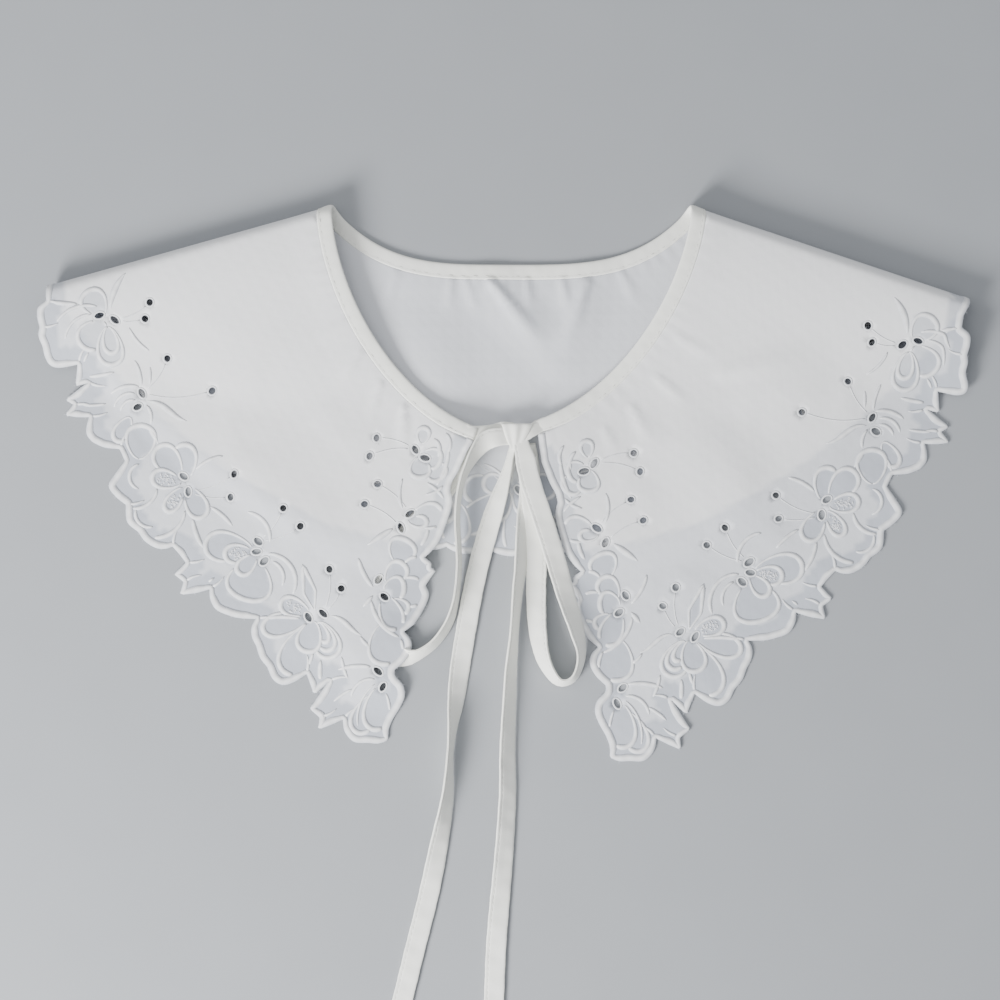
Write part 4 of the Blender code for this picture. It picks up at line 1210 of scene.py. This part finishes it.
def add_stems(bands, satellites, hearts, place):
    """Fine outline stitches that join the small eyelets to the nearest heart."""
    middles = np.array([heart[:2] for heart in hearts])
    for spot in np.array(satellites):
        away = middles[np.argmin(np.linalg.norm(middles - spot, axis=1))] - spot
        distance = np.linalg.norm(away)
        if STEM_SHORTEST < distance < STEM_LONGEST:
            steps = np.linspace(STEM_FROM_EYELET / distance, 1.0 - STEM_FROM_HEART / distance, 12)
            sag = np.outer(STEM_SAG * np.sin(steps * math.pi), [-away[1], away[0]])
            line = evenly(place(spot + np.outer(steps, away) + sag), RING_STEP)
            bands.add(line, np.full(len(line), STEM_HALF), STEM_HALF, 0.25, sides=5)


def add_rims(bands):
    """A narrow overcast rim round each eyelet."""
    for loop, middle in zip(EYELETS, EYELET_MIDDLES):
        outward = loop - middle
        ring = loop + outward / np.linalg.norm(outward, axis=1)[:, None] * 0.35 * RIM_WIDTH
        bands.add(ring[::-1], np.full(len(ring), 0.5 * RIM_WIDTH), 0.27, 0.26, closed=True)


def add_seeds(bands, place, rng):
    """Short seed stitches scattered in some of a front's petals."""
    for a, b, petals, _ in FRONT_FLOWERS:
        for row in petals:
            if row[-1] != 2:
                continue
            outline = petal_band(a, b, row)[:, :2]
            shrunk = outline.mean(axis=0) + (outline - outline.mean(axis=0)) * SEEDS_WITHIN
            low, high = shrunk.min(axis=0), shrunk.max(axis=0)
            for _ in range(SEEDS_PER_PETAL):
                spot = np.array([rng.uniform(low[0], high[0]), rng.uniform(low[1], high[1])])
                if not inside(spot[None], shrunk)[0]:
                    continue
                angle = rng.uniform(0.0, math.pi)
                reach = np.array([math.cos(angle), math.sin(angle)]) * SEED_HALF_LENGTH
                line = place(np.array([spot - reach, spot, spot + reach]))
                if np.linalg.norm(EYELET_MIDDLES - line[1], axis=1).min() > SEED_CLEARANCE:
                    bands.add(line, np.array([0.15, 0.26, 0.15]), 0.4, 0.3, sides=5)


def add_border(bands):
    """Close satin stitch over the hem's cut edge, narrow at its notches and sharp tips, wide on its lobes."""
    line = evenly(np.vstack([NECK_BODY_EDGE[-1:], HEM, NECK_BODY_EDGE[:1]]), BORDER_STEP)
    way = np.gradient(line, axis=0)
    turning = np.abs(np.gradient(np.unwrap(np.arctan2(way[:, 1], way[:, 0]))))
    notches = np.nonzero(turning > BORDER_TURN)[0]
    apart = np.abs(np.arange(len(line))[:, None] - notches).min(axis=1) * BORDER_STEP
    widest = BORDER_NOTCH_HALF + (BORDER_LOBE_HALF - BORDER_NOTCH_HALF) * ease(apart / BORDER_WIDENS_OVER)
    inwards = -left_normals(softened(line.copy(), 2))
    inset = np.full(len(line), BORDER_NARROWEST)
    for depth in np.arange(0.45, BORDER_LOBE_HALF, 0.15):
        gaps = distance_to_loop(line + inwards * depth, HEM_COARSE, 4.0)
        inset = np.where((gaps > 0.86 * depth) & (depth <= widest), depth, inset)
    inset = softened(inset, 3)
    path = line + inwards * (inset - 0.5 * HEM_OVERHANG)[:, None]
    bands.add(path, inset + 0.5 * HEM_OVERHANG, SATIN_RIGHT_SIDE, SATIN_WRONG_SIDE)


def add_frays(bands, rng):
    """Short loose fibres left where the hem was cut close to its stitches."""
    outwards = left_normals(HEM)
    for index in range(4, len(HEM) - 4, 3):
        crowd = 0.35 + 0.65 * math.sin(index / 61.0) ** 6
        if rng.random() > crowd:
            continue
        lean = rng.uniform(-FRAY_LEAN, FRAY_LEAN)
        curl = rng.uniform(-FRAY_CURL, FRAY_CURL)
        length = rng.uniform(*FRAY_LENGTHS)
        along = np.array([outwards[index][1], -outwards[index][0]])
        points = [HEM[index] - outwards[index] * 0.1]
        for step in range(3):
            angle = lean + curl * step
            ahead = outwards[index] * math.cos(angle) + along * math.sin(angle)
            points.append(points[-1] + ahead * length / 3.0)
        bands.add(np.array(points), np.array([0.075, 0.07, 0.06, 0.03]), 0.07, 0.07, sides=3)


def build_embroidery():
    """The satin stitch of both fronts and of the back panel, and the border round the hem."""
    pieces = []
    rng = random.Random(11)
    for name, place in (("embroidery_left", left_front), ("embroidery_right", right_front)):
        bands = ClothBands()
        embroider(bands, front_flowers(), place, 1.0)
        for curl in notch_curls():
            for run in showing_runs(curl, [], place, 1.0):
                add_satin(bands, run, 1.0)
        add_stems(bands, FRONT_SATELLITES, FRONT_HEARTS, place)
        add_seeds(bands, place, rng)
        pieces.append(bands.build(name))
    bands = ClothBands()
    embroider(bands, back_flowers(), left_back, 0.8)
    embroider(bands, back_flowers(), right_back, 0.8, first=1)
    for side, place, satellites in STRETCHES[2:]:
        add_stems(bands, satellites, heart_places(side), place)
    add_rims(bands)
    pieces.append(bands.build("embroidery_back_and_eyelets"))
    border = ClothBands()
    add_border(border)
    add_frays(border, rng)
    pieces.append(border.build("hem_border"))
    return pieces


# Binding, stitches and ties

def one_stitch():
    """The points and faces of one thread stitch lying along x, thicker in the middle, its ends going down."""
    bpy.ops.object.select_all(action="DESELECT")
    bpy.ops.mesh.primitive_cylinder_add(vertices=6, radius=0.17, depth=1.3, end_fill_type="NGON",
                                        rotation=(0.0, math.pi / 2.0, 0.0))
    stitch = bpy.context.object
    bpy.ops.object.transform_apply(location=True, rotation=True, scale=True)
    bpy.ops.object.mode_set(mode="EDIT")
    bpy.ops.mesh.select_all(action="DESELECT")
    bpy.ops.object.mode_set(mode="OBJECT")
    for side in (-1.0, 1.0):
        for face in stitch.data.polygons:
            face.select = face.normal.x * side > 0.9 and face.center.x * side > 0.3
        bpy.ops.object.mode_set(mode="EDIT")
        bpy.ops.mesh.select_mode(type="FACE")
        bpy.ops.mesh.extrude_region_move(TRANSFORM_OT_translate={"value": (0.3 * side, 0.0, -0.16)})
        bpy.ops.transform.resize(value=(0.5, 0.5, 0.5))
        bpy.ops.mesh.select_all(action="DESELECT")
        bpy.ops.object.mode_set(mode="OBJECT")
    points = np.array([tuple(vertex.co) for vertex in stitch.data.vertices])
    faces = [tuple(face.vertices) for face in stitch.data.polygons]
    bpy.data.objects.remove(stitch, do_unlink=True)
    return points, faces


STITCH_POINTS, STITCH_FACES = one_stitch()


def place_stitches(name, spots, ways, ups):
    """Copies of the stitch at each spot, along its way and with its crown up."""
    points = []
    faces = []
    count = len(STITCH_POINTS)
    for number, (spot, way, up) in enumerate(zip(spots, ways, ups)):
        side = np.cross(up, way)
        turn = np.array([way, side, np.cross(way, side)])
        points.append(STITCH_POINTS @ turn + spot)
        faces += [tuple(number * count + i for i in face) for face in STITCH_FACES]
    return make_object(name, np.vstack(points), faces, SEAM)


def seam_stitches(name, seam, ways, ups, depth):
    """A seam's stitches on both faces of what it sews, a depth off its middle."""
    spots = np.vstack([seam + ups * depth, seam - ups * depth])
    return place_stitches(name, spots, np.vstack([ways, ways]), np.vstack([ups, -ups]))


def unit(rows):
    """The rows as unit vectors."""
    return rows / np.linalg.norm(rows, axis=1)[:, None]


def build_binding():
    """The folded binding round the neck edge, plump at its fold and drawn thin along its seam."""
    line = neck_line(NECK_STEP)
    gone = lengths_along(line)
    from_end = np.minimum(gone, gone[-1] - gone)
    narrowing = BINDING_END_SHARE + (1.0 - BINDING_END_SHARE) * ease(from_end / 16.0)
    rails = []
    across = []
    for angle in np.arange(BINDING_SIDES) * 2.0 * math.pi / BINDING_SIDES:
        share = 0.5 - 0.5 * math.copysign(abs(math.cos(angle)) ** 0.55, math.cos(angle))
        lift = math.copysign(abs(math.sin(angle)) ** 0.7, math.sin(angle))
        groove = 1.0 - 0.4 * math.exp(-((share - BINDING_SEAM_SHARE) / 0.06) ** 2)
        flat = line - left_normals(line) * (BINDING_WIDTH * share * narrowing)[:, None]
        drawn = 0.88 + (0.07 * np.sin(gone * 1.18) + 0.05 * np.sin(gone * 0.47)) * math.sin(share * math.pi)
        thick = BINDING_HALF_THICKNESS * lift * groove * (1.0 - 0.2 * share)
        rails.append(cloth_middle(flat) + cloth_normals(flat) * (thick * drawn)[:, None])
        across.append(BINDING_WIDTH * share + (0.0 if angle < math.pi else OTHER_FACE))
    points = np.stack(rails, axis=1).reshape(-1, 3)
    uv = np.stack([np.repeat(gone, BINDING_SIDES), np.tile(across, len(line))], axis=-1)
    faces = tube_faces(len(line), BINDING_SIDES, 0, False)
    band = make_object("binding_cloth", points, faces, TAPE, "tape", uv)
    face_outwards(band)
    seam_flat = offset_line(evenly(line, STITCH_PITCH)[2:-2], BINDING_WIDTH * BINDING_SEAM_SHARE)
    seam = cloth_middle(seam_flat)
    ways = unit(np.gradient(seam, axis=0))
    return band, seam_stitches("binding_stitches", seam, ways, cloth_normals(seam_flat), BINDING_SEAM_DEPTH)


def binding_end(side):
    """Two places inside the binding just before its left (-1) or right (1) end, as a strand's first rows."""
    line = offset_line(neck_line(1.0), 0.5 * BINDING_WIDTH * BINDING_END_SHARE)
    places = cloth_middle(line[[5, 2]] if side < 0 else line[[-6, -3]])
    return tuple((x, y, z, 0.0) for x, y, z in places.tolist())


def tape_run(rows, start_width, widens_over):
    """A tape's line with its directions, the distance gone, and its sway and half width along it."""
    line = evenly(smooth_line(rows, 0.8), TAPE_STEP, measured=3)
    way = unit(np.gradient(line[:, :3], axis=0))
    level = unit(np.cross(way, [0.0, 0.0, 1.0]))
    upright = np.cross(level, way)
    roll = np.radians(line[:, 3])[:, None]
    gone = lengths_along(line[:, :3])
    drawn = 1.0 + 0.012 * np.sin(gone * 0.7) + 0.01 * np.sin(gone * 1.9 + 1.0)
    widening = start_width + (1.0 - start_width) * ease(gone / widens_over)
    return SimpleNamespace(
        line=line[:, :3],
        way=way,
        across=level * np.cos(roll) + upright * np.sin(roll),
        through=upright * np.cos(roll) - level * np.sin(roll),
        gone=gone,
        sway=0.16 * np.sin(gone * 0.33) + 0.1 * np.sin(gone * 0.81 + 2.0),
        half_width=0.5 * TAPE_WIDTH * drawn * widening,
    )


# A tape's section as shares of its half width and half thickness: a fold on one edge, a slit between the two
# layers on the other, and the seam's groove beside it
TAPE_UPPER = ((-1.0, 0.0), (-0.985, 0.62), (-0.94, 0.93), (-0.75, 1.0), (-0.4, 0.94), (0.1, 0.92), (0.5, 1.0),
              (0.64, 0.98), (0.71, 0.66), (0.78, 0.98), (0.93, 0.98), (1.0, 0.72), (0.99, 0.2), (0.9, 0.03))
SEAM_SHARE = 0.71


def tape_shape(run):
    """A folded tape's points, UV places and faces along its run."""
    profile = np.array(list(TAPE_UPPER) + [(u, -v) for u, v in TAPE_UPPER[1:]][::-1])
    u, v = profile[:, 0], profile[:, 1]
    breadth = (u * run.half_width[:, None])[:, :, None]
    height = (v * 0.44 * TAPE_THICKNESS + run.sway[:, None] * (1.0 - u ** 2))[:, :, None]
    points = run.line[:, None] + run.across[:, None] * breadth + run.through[:, None] * height
    over = u * 0.5 * TAPE_WIDTH + np.where(v < 0.0, OTHER_FACE, 0.0)
    uv = np.stack([np.repeat(run.gone, len(u)), np.tile(over, len(run.gone))], axis=-1)
    return points.reshape(-1, 3), uv, tube_faces(len(run.gone), len(u), 0, False)


def build_tape(name, run):
    """A strand of folded bias tape along its run, with its seam's stitches on both faces."""
    points, uv, faces = tape_shape(run)
    tape = make_object(name + "_tape", points, faces, TAPE, "tape", uv)
    face_outwards(tape)
    out = (run.half_width * SEAM_SHARE)[:, None]
    lift = (run.sway * (1.0 - SEAM_SHARE ** 2))[:, None]
    marks = np.arange(2.0, run.gone[-1] - 2.0, STITCH_PITCH)
    seam, ways, ups = (
        np.column_stack([np.interp(marks, run.gone, rows[:, i]) for i in range(3)])
        for rows in (run.line + run.across * out + run.through * lift, run.way, run.through)
    )
    return tape, seam_stitches(name + "_stitches", seam, unit(ways), unit(ups), 0.3 * TAPE_THICKNESS)


def wrap_ring(share):
    """One ring of the knot's wrap, a share of the way up from its pinched point."""
    rise = math.sin(0.5 * math.pi * min(1.0, share / 0.8))
    half = 1.1 + WRAP_HALF_WIDTH * rise ** 0.8
    crown = 5.2 + 3.2 * math.sin(math.pi * (0.12 + 0.72 * share)) - 3.4 * ease((share - 0.72) / 0.28)
    t = np.linspace(-1.0, 1.0, WRAP_UPPER)
    pleats = 0.42 * np.cos(WRAP_PLEATS * math.pi * t + 0.5) * math.sin(math.pi * min(share * 1.15, 1.0))
    top = crown - 1.6 * t ** 2 * rise + pleats * (1.0 - t ** 4)
    under = 0.96 * np.linspace(1.0, -1.0, WRAP_LOWER + 2)[1:-1]
    floor = min(crown - 0.7, 4.4) - 0.6 * (1.0 - rise)
    x = WRAP_PINCH[0] + 0.9 * rise + half * np.append(t, under)
    y = np.full(len(x), WRAP_PINCH[1] + WRAP_RISE * rise)
    return np.column_stack([x, y, np.append(top, np.full(WRAP_LOWER, floor))])


def build_knot():
    """The knot's wrap, drawn together below and fanned over the strands, and both ends of the binding."""
    count = WRAP_UPPER + WRAP_LOWER
    total = WRAP_RINGS * count
    shares = np.linspace(0.0, 1.0, WRAP_RINGS)
    across = np.append(np.linspace(0.0, 12.0, WRAP_UPPER), np.linspace(14.0, 22.0, WRAP_LOWER))
    points = [wrap_ring(share) for share in shares]
    uv = [np.stack([np.repeat(14.0 * shares, count), np.tile(across, WRAP_RINGS)], axis=-1)]
    faces = tube_faces(WRAP_RINGS, count, 0, False)
    for side, rows in ((-1, LEFT_BINDING_BAND), (1, RIGHT_BINDING_BAND)):
        band_points, band_uv, band_faces = tape_shape(tape_run(binding_end(side) + rows, 0.64, 60.0))
        faces += [[total + i for i in face] for face in band_faces]
        points.append(band_points)
        uv.append(band_uv)
        total += len(band_points)
    knot = make_object("knot_wrap", np.vstack(points), faces, TAPE, "tape", np.vstack(uv))
    face_outwards(knot)
    return knot


# Stage, lights and camera

FLOOR_SIZE = 6.0
DAYLIGHT = 0.66
# The lights: name, place, power and width
LIGHTS = (("key", (-0.66, -0.70, 0.52), 27.0, 0.4), ("fill", (-0.5, 0.3, 1.3), 6.0, 1.2))
# The photo's width, a pixel's size, and the photo's middle in pixels right of and above the neck corners
PHOTO_PIXELS = 1000
PIXEL = 0.4
PHOTO_MIDDLE = (-11.5, -292.0)


def build_stage():
    """A plain pale floor, soft studio light from the lower left, and the camera straight above."""
    bpy.ops.object.select_all(action="DESELECT")
    bpy.ops.mesh.primitive_plane_add(size=FLOOR_SIZE, location=(0.0, 0.0, 0.0))
    floor = bpy.context.object
    floor.name = "floor"
    material, tree, shader = new_material("matt_backdrop_board", 0.92, 0.0)
    coordinates = add_node(tree, "ShaderNodeTexCoord")
    tone = mixed_colour(tree, noise(tree, coordinates.outputs["Object"], 30.0), "#9b9ea2", "#9fa2a6")
    tree.links.new(tone, shader.inputs["Base Color"])
    floor.data.materials.append(material)
    world = bpy.data.worlds.new("studio")
    bpy.context.scene.world = world
    world.use_nodes = True
    background = world.node_tree.nodes["Background"]
    background.inputs["Color"].default_value = hex_colour("#eef1f5")
    background.inputs["Strength"].default_value = DAYLIGHT
    for name, place, energy, size in LIGHTS:
        light = bpy.data.lights.new(name, "AREA")
        light.energy = energy
        light.size = size
        lamp = bpy.data.objects.new(name, light)
        bpy.context.scene.collection.objects.link(lamp)
        lamp.location = place
        aim = -lamp.location
        lamp.rotation_euler = aim.to_track_quat("-Z", "Y").to_euler()
    camera = bpy.data.cameras.new("camera")
    camera.lens = 85.0
    camera.sensor_width = 36.0
    eye = bpy.data.objects.new("camera", camera)
    bpy.context.scene.collection.objects.link(eye)
    x, y, _ = in_frame([*(np.array(PHOTO_MIDDLE) * PIXEL), 0.0])
    eye.location = (x, y, PHOTO_PIXELS * PIXEL * MM * camera.lens / camera.sensor_width)
    bpy.context.scene.camera = eye


def ride(piece, slot, *nodes):
    """A piece rides on the one body and may stand for solids, which it hides; the slot it is given is not
    used.
    """
    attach(piece, "root")
    if nodes:
        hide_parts(*nodes)


build_stage()
cloth, cut_area = build_cloth()
ride(cloth, "cloth", "collar_body")
embroidery = build_embroidery()
for piece in embroidery:
    ride(piece, "cloth")
binding, binding_stitches = build_binding()
ride(binding, "binding", "neck_binding")
ride(binding_stitches, "binding")
ride(build_knot(), "ties", "bow_knot")
for name, rows, node, far_end, start_width, widens_over in (
    ("left_loop", LEFT_BAND + LEFT_LOOP + LEFT_RETURN_END, "tie_loop_left", "object", 0.8, 10.0),
    ("right_loop", RIGHT_BAND + RIGHT_LOOP, "tie_loop_right", "object", 0.7, 12.0),
    ("left_tail", LEFT_TAIL_START + LEFT_TAIL, "tie_tail_left", "bare", 0.4, 26.0),
    ("right_tail", RIGHT_TAIL_START + RIGHT_TAIL, "tie_tail_right", "bare", 0.8, 10.0),
):
    run = tape_run(rows, start_width, widens_over)
    tape, tape_stitches = build_tape(name, run)
    ride(tape, "ties", node)
    ride(tape_stitches, "ties")
